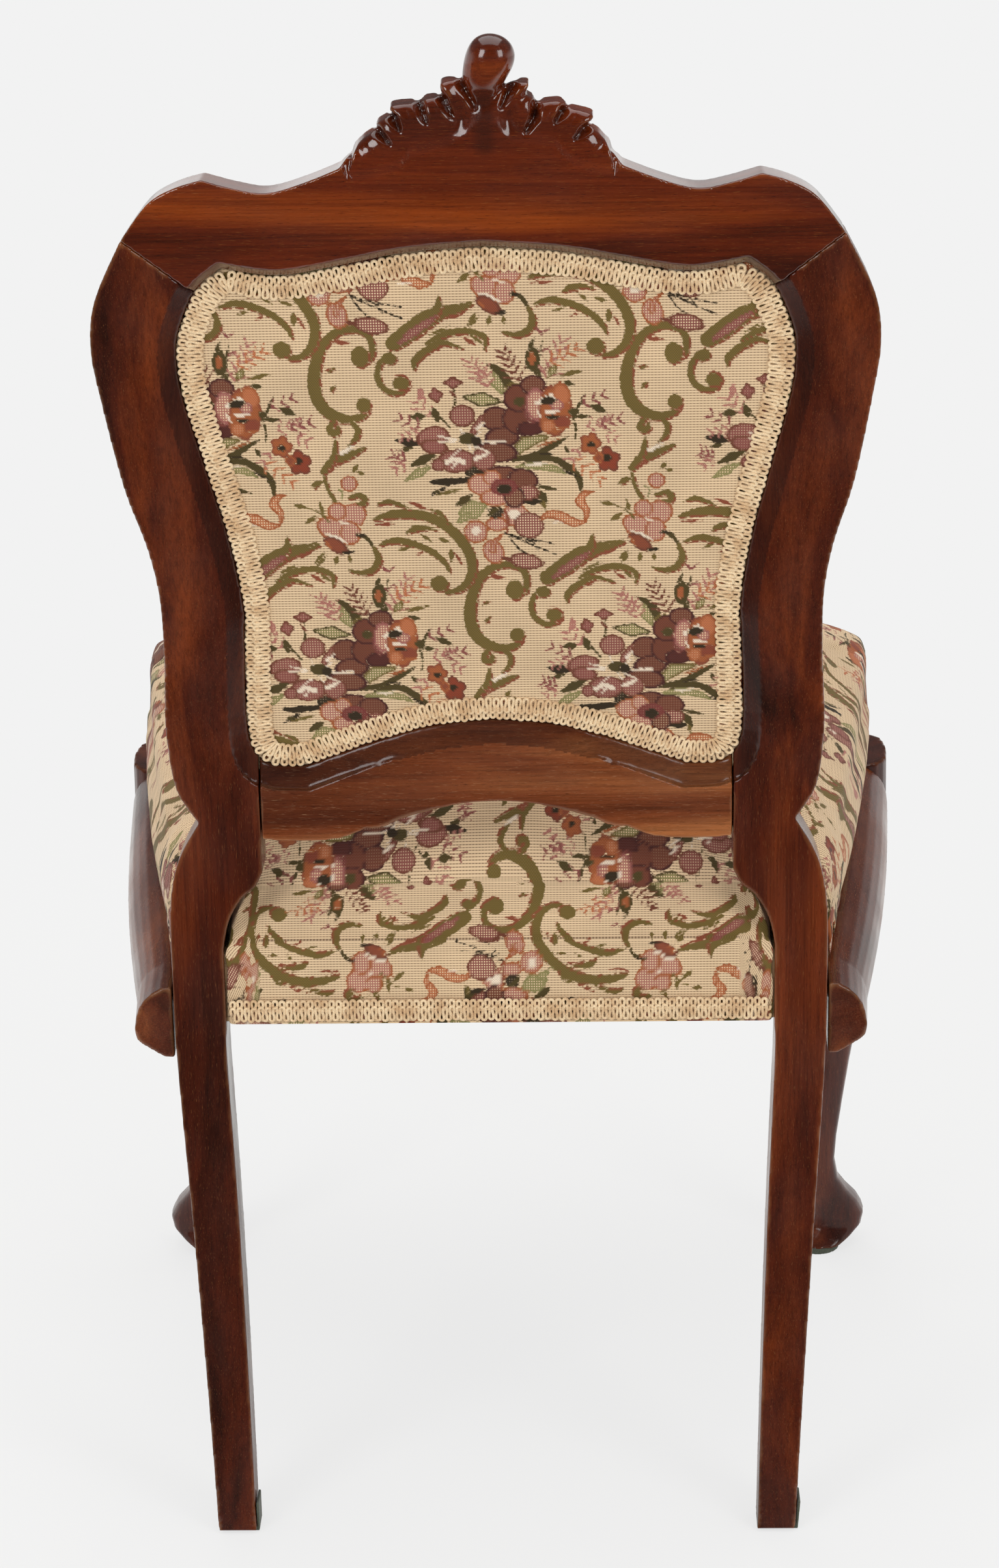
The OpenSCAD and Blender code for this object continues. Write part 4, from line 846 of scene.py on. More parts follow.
def petal(colour, at, size, turn=0, hatch=0, rim=None, lobes=0, dent=0.25):
    """An oval, or with lobes a flower's outline."""
    form = (size, math.radians(turn), lobes, dent)
    return ["petal", colour, hatch, rim or colour, np.array(at, float), form]


def leaf(colour, start, end, width, hatch=0, rim=None):
    """A pointed leaf, widest in its middle."""
    middle = [(start[0] + end[0]) / 2, (start[1] + end[1]) / 2]
    return stroke(colour, [start, middle, end], (0.4, width, 0.3), hatch, rim)


def shaded(points, widths, colour=olive, shade=russet):
    """A scroll with a russet shadow along its lower right side."""
    return [stroke(shade, [(x + 0.9, y - 1.0) for x, y in points], widths), stroke(colour, points, widths)]


def ball(at, size):
    """The ball at a scroll's end, with the same shadow."""
    return [petal(russet, (at[0] + 0.9, at[1] - 1.0), size), petal(olive, at, size)]


def slashes(root, tips, width):
    """Cream slashes from a flower's heart."""
    root = np.array(root, float)
    return [stroke(cream, [tuple(root + (np.array(tip) - root) * 0.4), tip], (width, 0.7)) for tip in tips]


def sprig(colour, start, end, pairs=4, reach=4.5):
    """A striped sprig: short strokes in pairs along a stem."""
    start, end = np.array(start, float), np.array(end, float)
    along_it = (end - start) / np.linalg.norm(end - start)
    aside = np.array([-along_it[1], along_it[0]])
    made = []
    for k in range(pairs):
        root = start + (end - start) * (k + 0.4) / pairs
        for hand in (-1, 1):
            tip = root + along_it * reach * 0.75 + aside * hand * reach * (1 - 0.12 * k)
            made.append(stroke(colour, [tuple(root), tuple((root + tip) / 2), tuple(tip)], (1.7, 1.5, 0.9)))
    return made


figures = []
# The C-scroll, its tail, the long leaf and the bud
figures += [*shaded([(-73.5, 64), (-68.5, 68.5), (-67.5, 75), (-69, 82), (-74.5, 86), (-81.5, 87),
                (-90, 84), (-97, 76.5), (-101, 66.5), (-103, 56.5), (-103, 47), (-100.5, 38.5),
                (-95.5, 32), (-88.5, 28.5), (-82, 27.5), (-75.5, 29.5), (-71.5, 33.5)],
                (3, 4, 4.5, 5, 6, 7.5, 8, 7.5, 5, 3.5)),
            *ball((-75, 69), (5.5, 7)), *ball((-74, 37), (4.5, 5)),
            leaf(russet, (-92, 79), (-79.5, 77.5), 3), leaf(russet, (-96, 60), (-89.5, 60.5), 3),
            leaf(olive, (-95.5, 58), (-90, 62), 2.5), leaf(olive, (-94.5, 45.5), (-90, 51), 3),
            leaf(russet, (-93, 43.5), (-89.5, 50), 1.5),
            *shaded([(-92, 26.5), (-95, 22), (-94, 18.5), (-90.5, 19), (-90, 22.5)],
                (2.5, 4.5, 4.5, 2)),
            *shaded([(-82, 26), (-78.5, 21), (-79.5, 15), (-84, 10)], (3, 4, 3.5, 1.5)),
            *shaded([(-100, -7.5), (-93.5, -0.5), (-85, 3), (-74.5, 8)], (4.5, 7, 5.5, 1.5)),
            *shaded([(-92, 13), (-92.5, 7), (-95, -1)], (1.5, 3.5, 3.5)),
            stroke(cream, [(-89, 4.5), (-81.5, 9)], (3, 1.5)),
            stroke(russet, [(-96.5, -7), (-90.5, -1.5)], (2.5, 1)),
            *shaded([(-100, -10.5), (-99, -16), (-97, -22), (-94, -28)], (2, 2.5, 2.5, 3)),
            leaf(olive, (-108.5, -18), (-100, -13.5), 4.5),
            leaf(russet, (-106.5, -20.5), (-102, -17), 1.5),
            petal(pink, (-85, -16), (5.5, 5.5), 0, 1, rust), leaf(olive, (-82.5, -8.5), (-79, -3), 3.5),
            leaf(olive, (-79.5, -8.5), (-75, -9.5), 3),
            stroke(light_green, [(-92.5, -20), (-89.5, -22), (-90, -27.5)], (1, 1.5, 1), 1)]
# The small scroll, the horn and its flower
figures += [*shaded([(-59, 68), (-63, 65), (-65, 57), (-63, 49.5), (-57.5, 45), (-51.5, 45),
                (-47, 48.5)], (2.5, 3.5, 4, 4, 3.5, 3)),
            *ball((-57.5, 67.5), (4.5, 4)), *ball((-51, 51), (5, 4.5)),
            stroke(russet, [(-54.5, 56), (-49.5, 56), (-45.5, 52), (-45.5, 47)], (1, 1.5, 1.5, 1)),
            *shaded([(35, -82.5), (45, -75), (56, -66.5), (67.5, -62), (81.5, -58)],
                (10, 12, 11, 8, 2.5)),
            *shaded([(58, -65.5), (62, -59), (62.5, -52)], (6.5, 4.5, 1)),
            stroke(mauve, [(38.5, -82.5), (46.5, -76), (54.5, -70), (61, -65)], (2.5, 5.5, 5, 1.5),
                0.5),
            leaf(russet, (64.5, -67.5), (77.5, -63.5), 3), leaf(olive, (72, -60.5), (82.5, -55.5), 2.5),
            leaf(olive, (80, -72.5), (86.5, -65.5), 2.5),
            petal(pink, (-84.5, -38.5), (10, 8.5), 35, 1, rust),
            petal(pink, (-93, -35), (6, 6), 0, 1, rust),
            petal(pink, (-95.5, -48), (12, 7.5), -35, 1, rust),
            petal(pink, (-85.5, -50), (6.5, 8.5), 0, 1, rust),
            stroke(cream, [(-100.5, -51), (-94.5, -53), (-87.5, -57)], (1, 3, 1)),
            stroke(cream, [(-91.5, -42.5), (-86, -44)], (1.5, 1)),
            petal(russet, (-95, -58.5), (9, 4.5), -38, 0, burgundy),
            leaf(rust, (-101.5, -54.5), (-97.5, -61.5), 2.5),
            leaf(dark_leaf, (-92, -64), (-83, -63), 3),
            stroke(deep_olive, [(-81, -51), (-75.5, -54), (-71, -61.5)], (2.5, 3, 1.5)),
            leaf(dark_leaf, (-82.5, -52), (-76, -51.5), 3),
            *shaded([(-85.5, -26), (-80, -24), (-76, -26), (-77, -30), (-81, -29.5)], (2, 4, 4, 1.5)),
            leaf(olive, (-120, -30), (-111, -32.5), 3.5),
            leaf(olive, (-113, -43.5), (-105.5, -37.5), 4), leaf(olive, (-103.5, -28), (-101, -39), 3),
            stroke(olive, [(-111, -32.5), (-104, -35.5), (-98.5, -42)], (1, 1.5, 1.5)),
            *shaded([(-71.5, -60.5), (-69, -68.5), (-73, -76), (-80, -78), (-87.5, -76)],
                (3, 4.5, 4.5, 3.5, 1.5)),
            leaf(olive, (-108.5, -71), (-102, -63), 3), leaf(olive, (-95.5, -72), (-94.5, -65), 3.5),
            leaf(olive, (-86, -71), (-87, -65.5), 3)]
# The arched acanthus leaves
figures += [*shaded([(-71.5, -41), (-62, -38), (-50.5, -37), (-38.5, -39), (-28.5, -44.5),
                (-19.5, -53.5), (-13, -65), (-11.5, -74.5), (-14, -84), (-20.5, -90.5), (-27.5, -92)],
                (1.5, 6, 6.5, 7, 7, 6.5, 5.5, 4.5, 3)),
            *ball((-32, -86), (5.5, 5.5)),
            *shaded([(-68.5, -30.5), (-62, -28.5), (-55, -30.5), (-49, -33.5)], (1, 3.5, 3, 1)),
            leaf(russet, (-50, -28.5), (-37, -34.5), 3),
            *shaded([(-36, -34.5), (-30, -37), (-26, -43.5)], (1, 3, 1)),
            leaf(russet, (-70.5, -44.5), (-56.5, -44), 2.5),
            *shaded([(-51, -50.5), (-46, -47.5), (-39, -47), (-32.5, -48.5)], (1.5, 4.5, 3, 1)),
            leaf(olive, (-32.5, -54), (-24, -57.5), 3), leaf(russet, (-22, -64), (-17, -74), 2),
            *shaded([(-68, -58.5), (-59.5, -55.5), (-50, -57), (-40.5, -61), (-32.5, -66.5),
                (-27.5, -72.5), (-25.5, -78)], (1.5, 5, 4.5, 4.5, 4, 1.5)),
            leaf(olive, (-57.5, -63), (-49, -60), 2.5), leaf(russet, (-47, -66.5), (-40, -63.5), 2),
            leaf(olive, (-24, -61), (-24, -71.5), 4), leaf(olive, (-42.5, -51.5), (-35.5, -57), 2.5),
            *shaded([(-35, 77), (-26.5, 82), (-16, 85), (-6.5, 84), (0, 80), (-0.5, 72.5)],
                (2, 4, 4.5, 4, 3.5, 1)),
            *shaded([(-43, 60), (-42.5, 65.5), (-38, 70.5), (-31.5, 75), (-25.5, 77.5), (-14, 74)],
                (1.5, 4.5, 5, 4.5, 3.5, 1.5)),
            leaf(olive, (-33.5, 82), (-21, 88.5), 2.5), leaf(russet, (-13, 80.5), (-5.5, 75.5), 3),
            leaf(olive, (-8.5, 82), (-1.5, 76.5), 2.5), leaf(russet, (-31.5, 71.5), (-25.5, 74), 2)]
# The ribbon bow, its stems and the orange curl
figures += [petal(pink, (-8.5, -50), (7.5, 8), 0, 1, rust), petal(cream, (-8.5, -49.5), (3, 3)),
            petal(pink, (4.5, -45), (7.5, 5), 0, 1, rust),
            petal(pink, (16, -39), (8.5, 8), -20, 1, rust),
            petal(cream, (15.5, -38.5), (4.5, 3.5), -25),
            petal(mauve, (24, -46), (9.5, 9), -30, 1, burgundy),
            stroke(russet, [(9.5, -35.5), (11.5, -42.5), (10, -51.5)], (1.5, 2.5, 1)),
            petal(pink, (2, -64), (6.5, 9), 15, 1, rust),
            stroke(pink, [(7.5, -52.5), (3, -57), (1.5, -63)], (2, 3.5, 4.5), 1, rust),
            petal(mauve, (22, -71), (11, 5.5), -12, 1, burgundy),
            leaf(burgundy, (6, -68), (15, -70.5), 3),
            stroke(dark_leaf, [(9.5, -51.5), (23.5, -55.5), (40, -59)], (1.5, 1, 1)),
            stroke(dark_leaf, [(13, -53), (26.5, -60), (40.5, -66.5)], (1.5, 1, 1)),
            stroke(dark_leaf, [(11.5, -53.5), (16.5, -61), (22.5, -66)], (1, 1, 0.5)),
            stroke(dark_leaf, [(18, -53.5), (26, -57.5), (29, -63)], (1, 1, 0.5)),
            stroke(orange, [(31.5, -42), (36.5, -38.5), (44, -40), (51.5, -44.5), (59, -44)],
                (2, 5.5, 7, 6.5, 1.5), 1, rust),
            stroke(orange, [(58.5, -44), (59.5, -36), (55.5, -30), (58.5, -24.5), (64, -23.5)],
                (1.5, 4.5, 6.5, 4, 1), 1, rust),
            stroke(cream, [(39, -44), (46.5, -44)], (1.5, 1))]
# The bouquet: leaves and sprays behind the flowers
figures += [leaf(light_green, (-15, 41.5), (9.5, 38), 10, 1, deep_olive),
            leaf(light_green, (5, 59.5), (9.5, 43), 9.5, 1, light_green),
            stroke(deep_olive, [(1, 63), (8, 58.5), (13.5, 49), (17, 38)], (1.5, 5, 6.5, 4.5)),
            leaf(olive, (10.5, 46.5), (20, 50), 5),
            leaf(light_green, (-51.5, -15), (-33.5, -4), 6.5, 1, light_green),
            leaf(deep_olive, (-48.5, -5), (-30.5, 4), 6.5), leaf(dark_leaf, (-56, 13), (-40, 10.5), 7),
            leaf(deep_olive, (-53.5, 5.5), (-44.5, 8.5), 3.5),
            stroke(dark_leaf, [(-34.5, -15.5), (-25.5, -15.5), (-11.5, -14)], (3, 5, 3)),
            leaf(dark_leaf, (-36.5, -26), (-24, -18), 3.5),
            leaf(deep_olive, (-34.5, -22.5), (-28.5, -21.5), 3),
            leaf(light_green, (-32, -24.5), (-15.5, -20.5), 3, 1, olive),
            leaf(light_green, (-19, -38.5), (-1.5, -31.5), 13, 1, light_green),
            leaf(light_green, (-20.5, -44.5), (-10.5, -36), 5.5, 1, light_green),
            leaf(deep_olive, (-21, -32.5), (-9.5, -24), 5.5),
            petal(dark_leaf, (-7.5, -9), (6.5, 5), 15, 0.2),
            leaf(dark_leaf, (-12, -12.5), (2, -5.5), 5.5),
            stroke(light_green, [(15.5, 2), (23.5, 10.5), (36.5, 14)], (4.5, 9, 2), 1, olive),
            stroke(deep_olive, [(14.5, -1), (27.5, 1.5), (39.5, 8.5), (49, 14.5)], (3, 4.5, 4, 1)),
            leaf(rust, (30, 7.5), (43.5, 13), 2), leaf(dark_leaf, (27.5, 0.5), (39.5, 3), 4.5),
            stroke(deep_olive, [(21, -5), (30, -0.5), (40.5, -1), (50, -8), (55, -14.5), (56, -23)],
                (2.5, 4.5, 4.5, 5, 4.5, 1.5)),
            stroke(light_green, [(17, -6.5), (27.5, -5), (40.5, -7.5), (46.5, -11)], (2, 5.5, 4.5, 1),
                1, light_green),
            leaf(cream, (22.5, -5), (36, -3.5), 2.5), leaf(dark_leaf, (44.5, -8), (55.5, -13.5), 2),
            leaf(deep_olive, (28.5, -18.5), (42.5, -22), 3),
            leaf(deep_olive, (29.5, -20), (35.5, -32), 5.5),
            leaf(dark_leaf, (18.5, -29.5), (34, -29.5), 5.5),
            leaf(olive, (32.5, -28.5), (34.5, -35.5), 3),
            petal(dark_leaf, (4, -36.5), (4.5, 4.5), 0, 0.2), leaf(deep_olive, (-2, -40), (7, -32), 4),
            *sprig(burgundy, (20, 51), (10, 72), 5, 7.5), *sprig(pink, (-2, 51.5), (-10, 66.5), 4, 6.5),
            *sprig(mauve, (30.5, 52), (34.5, 90), 3, 6), *sprig(pink, (35.5, 52), (46.5, 79.5), 5, 7.5),
            *sprig(orange, (37, 62.5), (56, 74), 4, 6.5), *sprig(pink, (1, 47), (-2, 61), 3, 5.5),
            stroke(deep_olive, [(28.5, 52.5), (31, 62.5), (34, 77.5)], (1.5, 1.5, 1)),
            petal(deep_olive, (28, 66), (4.5, 8.5)), petal(rust, (27.5, 66), (2, 4.5)),
            leaf(deep_olive, (25.5, 71), (29, 80), 3),
            leaf(light_green, (37, 53.5), (42.5, 62.5), 5.5, 1, olive),
            leaf(deep_olive, (30.5, 51), (32.5, 60.5), 3), leaf(olive, (43, 54.5), (59, 58.5), 3.5),
            leaf(deep_olive, (45.5, 51), (53, 49), 3.5),
            petal(mauve, (-20, 51), (6, 4), 0, 0.3, burgundy, 4, 0.35),
            petal(mauve, (-30.5, 43), (4.5, 5.5), 10, 0.2, burgundy, 4, 0.35),
            stroke(deep_olive, [(-19.5, 47), (-19, 39), (-20.5, 32)], (1, 1.5, 1.5)),
            leaf(burgundy, (-22, 46), (-18, 41), 2.5),
            *sprig(pink, (-33.5, 27.5), (-43.5, 40.5), 3, 6.5),
            petal(pink, (-39.5, 44), (2, 4.5), 0, 0.5), leaf(deep_olive, (-46, 28.5), (-36.5, 29), 5.5),
            leaf(deep_olive, (-32.5, 35.5), (-29.5, 25), 5.5),
            stroke(deep_olive, [(-30, 29.5), (-25.5, 25), (-22, 20)], (1.5, 1.5, 1)),
            *sprig(mauve, (-39, 20.5), (-54.5, 29), 3, 5), *sprig(pink, (-40, 18), (-53.5, 15), 3, 4.5),
            *sprig(mauve, (-49, -1), (-58.5, 3), 3, 5.5), *sprig(pink, (-49, -2), (-58, -8), 2, 4.5)]
# The bouquet: mauve lily, burgundy rose, rust rose, pink rose
figures += [petal(mauve, (-15, 29), (8, 7.5), 0, 0.5, burgundy),
            petal(mauve, (-33, 15), (10.5, 7), 12, 0.4, burgundy),
            petal(mauve, (-32.5, 8.5), (8.5, 5), -10, 0.2, burgundy),
            petal(burgundy, (5, 27), (9, 8), 20, 0.1, "#4c2420"),
            petal(burgundy, (9, 14.5), (11, 7), 8, 0.1, "#4c2420"),
            petal(burgundy, (5.5, 4.5), (13, 7), -8, 0.15, "#4c2420"),
            stroke(mauve, [(-10.5, 13), (-7, 21), (-2, 29.5)], (2, 5.5, 2.5), 0.5, burgundy),
            stroke(cream, [(-6, 20), (-2, 24.5)], (2.5, 1)),
            petal(mauve, (-19, -1.5), (12, 8), 5, 0.3, burgundy),
            petal(mauve, (-30, -4), (4.5, 4.5), 0, 0.3, burgundy),
            petal(mauve, (-2.5, -0.5), (7.5, 8), 0, 0.4, burgundy),
            *slashes((-12.5, 11), [(-31, 12), (-29.5, 15.5), (-16.5, 21), (-1.5, 20), (10, 11),
                (-9.5, 4.5), (1, 4), (-23.5, 0)], 1.5),
            stroke(cream, [(-25, -2.5), (-20.5, 0), (-15, -2)], (3.5, 3, 3.5)),
            stroke(cream, [(-21.5, -5.5), (-18, -1.5)], (1.5, 1.5)),
            stroke(cream, [(-7.5, 0), (-3, 2), (0.5, 4.5)], (3, 2.5, 1)),
            stroke(cream, [(2.5, 11), (10.5, 11.5)], (2, 1)), petal(deep_olive, (-12, 13.5), (5.5, 4)),
            petal(dark_leaf, (-7, 12), (3.5, 3)),
            petal(burgundy, (21.5, 26.5), (12.5, 11.5), 0, 0, "#4c2420"),
            petal(burgundy, (19, 40.5), (9, 9.5), 0, 0, "#4c2420"),
            petal(burgundy, (28, 49), (8, 6.5), 0, 0.15, "#4c2420"),
            petal("#5a2c24", (27, 20.5), (9.5, 5.5), 10, 0, "#4c2420"),
            petal(deep_olive, (19.5, 38), (3.5, 3)), petal("#7c4038", (27, 31.5), (4.5, 8.5), 0, 0.3),
            petal(pink, (29.5, 36), (6, 11), 0, 1, rose),
            petal(rust, (41, 32.5), (10.5, 19), -6, 0, russet, 5, 0.12),
            petal(orange, (45, 42.5), (5.5, 8), 15, 0, rust),
            petal("#8c4530", (45, 23.5), (5.5, 5), 30, 0, russet),
            petal(orange, (36.5, 21.5), (4.5, 5), 0, 0.2, rust),
            stroke(cream, [(30.5, 37), (39, 43)], (3, 1.5)),
            stroke(cream, [(36.5, 31), (43, 31.5)], (3, 2)),
            stroke(cream, [(30.5, 31), (32.5, 26.5)], (1.5, 1)),
            petal(pink, (42, 35.5), (4, 4), 0, 1, rose), petal(dark_leaf, (37, 38.5), (5, 3), 15),
            petal(dark_leaf, (39.5, 27.5), (4, 1.5)), stroke(cream, [(38, 42), (41, 40.5)], (1.5, 1)),
            leaf(rust, (40.5, 19.5), (50, 20.5), 3),
            petal(burgundy, (8.5, -10), (10.5, 5), 0, 0.1, "#4c2420"),
            petal(burgundy, (21, -14.5), (9.5, 7.5), -15, 0.1, "#4c2420"),
            petal(pink, (-4.5, -17.5), (8.5, 7.5), 0, 1, rust),
            petal(pink, (2, -13), (5.5, 5.5), 0, 1, rust), petal(pink, (4, -26.5), (10, 6), 0, 1, rust),
            petal("#8a4a44", (23, -23.5), (8, 5.5), 0, 0.8, burgundy),
            petal(burgundy, (15.5, -26.5), (6.5, 7.5), 0, 0.4, "#4c2420"),
            petal("#7c3a34", (9, -19.5), (8.5, 6), 0, 0.1), petal(dark_leaf, (9.5, -21), (4.5, 3.5))]
# The two rust florets and their sprays
figures += [petal(rust, (62, 9.5), (7, 8), 0, 0, russet, 5, 0.3),
            petal(dark_leaf, (62.5, 8.5), (2.5, 2)),
            petal("#8c3f28", (72.5, -1.5), (8, 9.5), 20, 0, burgundy, 5, 0.3),
            petal(dark_leaf, (72, -0.5), (2.5, 2.5)),
            petal(russet, (67, 0), (3.5, 4.5), 0, 0, rust, 4, 0.3),
            stroke(deep_olive, [(51.5, 26.5), (55.5, 35.5), (59, 42.5)], (1.5, 2, 1)),
            petal(deep_olive, (52, 31), (3, 2.5)), leaf(deep_olive, (62, 35.5), (72, 30.5), 5),
            leaf(deep_olive, (52.5, 27.5), (62, 28), 3.5),
            stroke(deep_olive, [(52.5, 12), (53.5, 19), (52, 26.5)], (1, 1.5, 1.5)),
            leaf(deep_olive, (46.5, 8.5), (49, 2.5), 3),
            *sprig(mauve, (55.5, 35.5), (72.5, 42.5), 3, 4.5),
            *sprig(pink, (58.5, 20.5), (74.5, 25), 3, 5), *sprig(mauve, (67, 21.5), (81.5, 26), 3, 5.5),
            *sprig(pink, (70.5, 16.5), (79, 12), 2, 4.5), *sprig(orange, (50, 0), (70, -16.5), 4, 6),
            *sprig(pink, (55.5, 7.5), (49, -3.5), 2, 4.5)]

# The loom repeats the figures along these two steps
repeat_across, repeat_up = np.array([187.0, 0.0]), np.array([97.5, 160.0])


def signed_distance(shape, points):
    """How far points lie outside a figure's outline, in mm; below 0 inside it."""
    if shape[0] == "petal":
        (long_way, short_way), turn, lobes, dent = shape[5]
        away = points - shape[4]
        away = away @ np.array([[math.cos(turn), -math.sin(turn)], [math.sin(turn), math.cos(turn)]])
        around = np.arctan2(away[:, 1] / short_way, away[:, 0] / long_way)
        reach = np.hypot(away[:, 0] / long_way, away[:, 1] / short_way)
        edge = 1 - dent * (1 - np.abs(np.cos(lobes * around / 2))) if lobes else 1.0
        return (reach - edge) * min(long_way, short_way)
    line, widths = shape[4], shape[5]
    best = np.full(len(points), 99.0)
    at = np.linspace(0, len(widths) - 1, len(line))
    half = np.interp(at, range(len(widths)), widths) / 2
    for a, b, wide_a, wide_b in zip(line, line[1:], half, half[1:]):
        step = b - a
        share = np.clip(((points - a) @ step) / max(step @ step, 1e-9), 0, 1)
        gap = np.hypot(*(points - a - share[:, None] * step).T) - (wide_a + (wide_b - wide_a) * share)
        best = np.minimum(best, gap)
    return best


def reach_of(shape):
    """The low and the high corner of what a figure covers."""
    if shape[0] == "petal":
        far = max(shape[5][0])
        return shape[4] - far, shape[4] + far
    far = max(shape[5]) / 2
    return shape[4].min(0) - far, shape[4].max(0) + far


def weave_figures(points):
    """Thread colour, distance to the figure's edge and share of hatching at each point of
    the cloth, given in mm to the right and up the pattern."""
    dye = np.tile(np.array(linear(cream)[:3]), (len(points), 1))
    edge = np.full(len(points), 6.0)
    hatched = np.zeros(len(points))
    reaches = [reach_of(shape) for shape in figures]
    corner = np.min([low for low, _ in reaches], 0) - 3
    far_corner = np.max([high for _, high in reaches], 0) + 3
    low, high = points.min(0), points.max(0)
    first_row = int((low[1] - far_corner[1]) // repeat_up[1])
    last_row = int((high[1] - corner[1]) // repeat_up[1])
    for row in range(first_row, last_row + 1):
        start = row * repeat_up[0]
        first = int((low[0] - far_corner[0] - start) // repeat_across[0])
        last = int((high[0] - corner[0] - start) // repeat_across[0])
        for column in range(first, last + 1):
            shift = column * repeat_across + row * repeat_up
            near = np.nonzero(((points > corner + shift) & (points < far_corner + shift)).all(1))[0]
            if not len(near):
                continue
            local = points[near] - shift
            for shape, (nearest, farthest) in zip(figures, reaches):
                around = ((local > nearest - 3) & (local < farthest + 3)).all(1)
                if not around.any():
                    continue
                which = near[around]
                gap = signed_distance(shape, local[around])
                over = (gap < 0) | ((edge[which] > 0) & (gap < edge[which]))
                taken = which[over]
                border = np.clip((gap[over] + 1.5) / 0.5, 0, 1)[:, None] * (gap[over] > -1.5)[:, None]
                fill, rim = np.array(linear(shape[1])[:3]), np.array(linear(shape[3])[:3])
                dye[taken] = fill * (1 - border) + rim * border
                edge[taken] = gap[over]
                hatched[taken] = shape[2] * (1 - border[:, 0])
    return dye, edge, hatched


def weave(mesh, cloth):
    """Stores the cloth's coordinates as its UV map and the woven figures as attributes."""
    dye, edge, hatched = weave_figures(cloth)
    colour = mesh.attributes.new("dye", "FLOAT_COLOR", "POINT")
    colour.data.foreach_set("color", np.hstack([dye, np.ones((len(dye), 1))]).astype(np.float32).ravel())
    for label, values in (("edge", edge), ("hatched", hatched)):
        mesh.attributes.new(label, "FLOAT", "POINT").data.foreach_set("value", values.astype(np.float32))
    corners = np.empty(len(mesh.loops), np.int32)
    mesh.loops.foreach_get("vertex_index", corners)
    layer = mesh.uv_layers.new(name="cloth")
    layer.data.foreach_set("uv", (cloth[corners] / 100).astype(np.float32).ravel())


def wave(tree, value, pitch_mm, offset=0.0):
    """A sine over the cloth's UV map, which counts in tenths of a metre."""
    turn = add(tree, "Math", {"operation": "MULTIPLY_ADD"}, i0=value, i1=200 * math.pi / pitch_mm, i2=offset)
    return add(tree, "Math", {"operation": "SINE"}, i0=turn.outputs[0]).outputs[0]


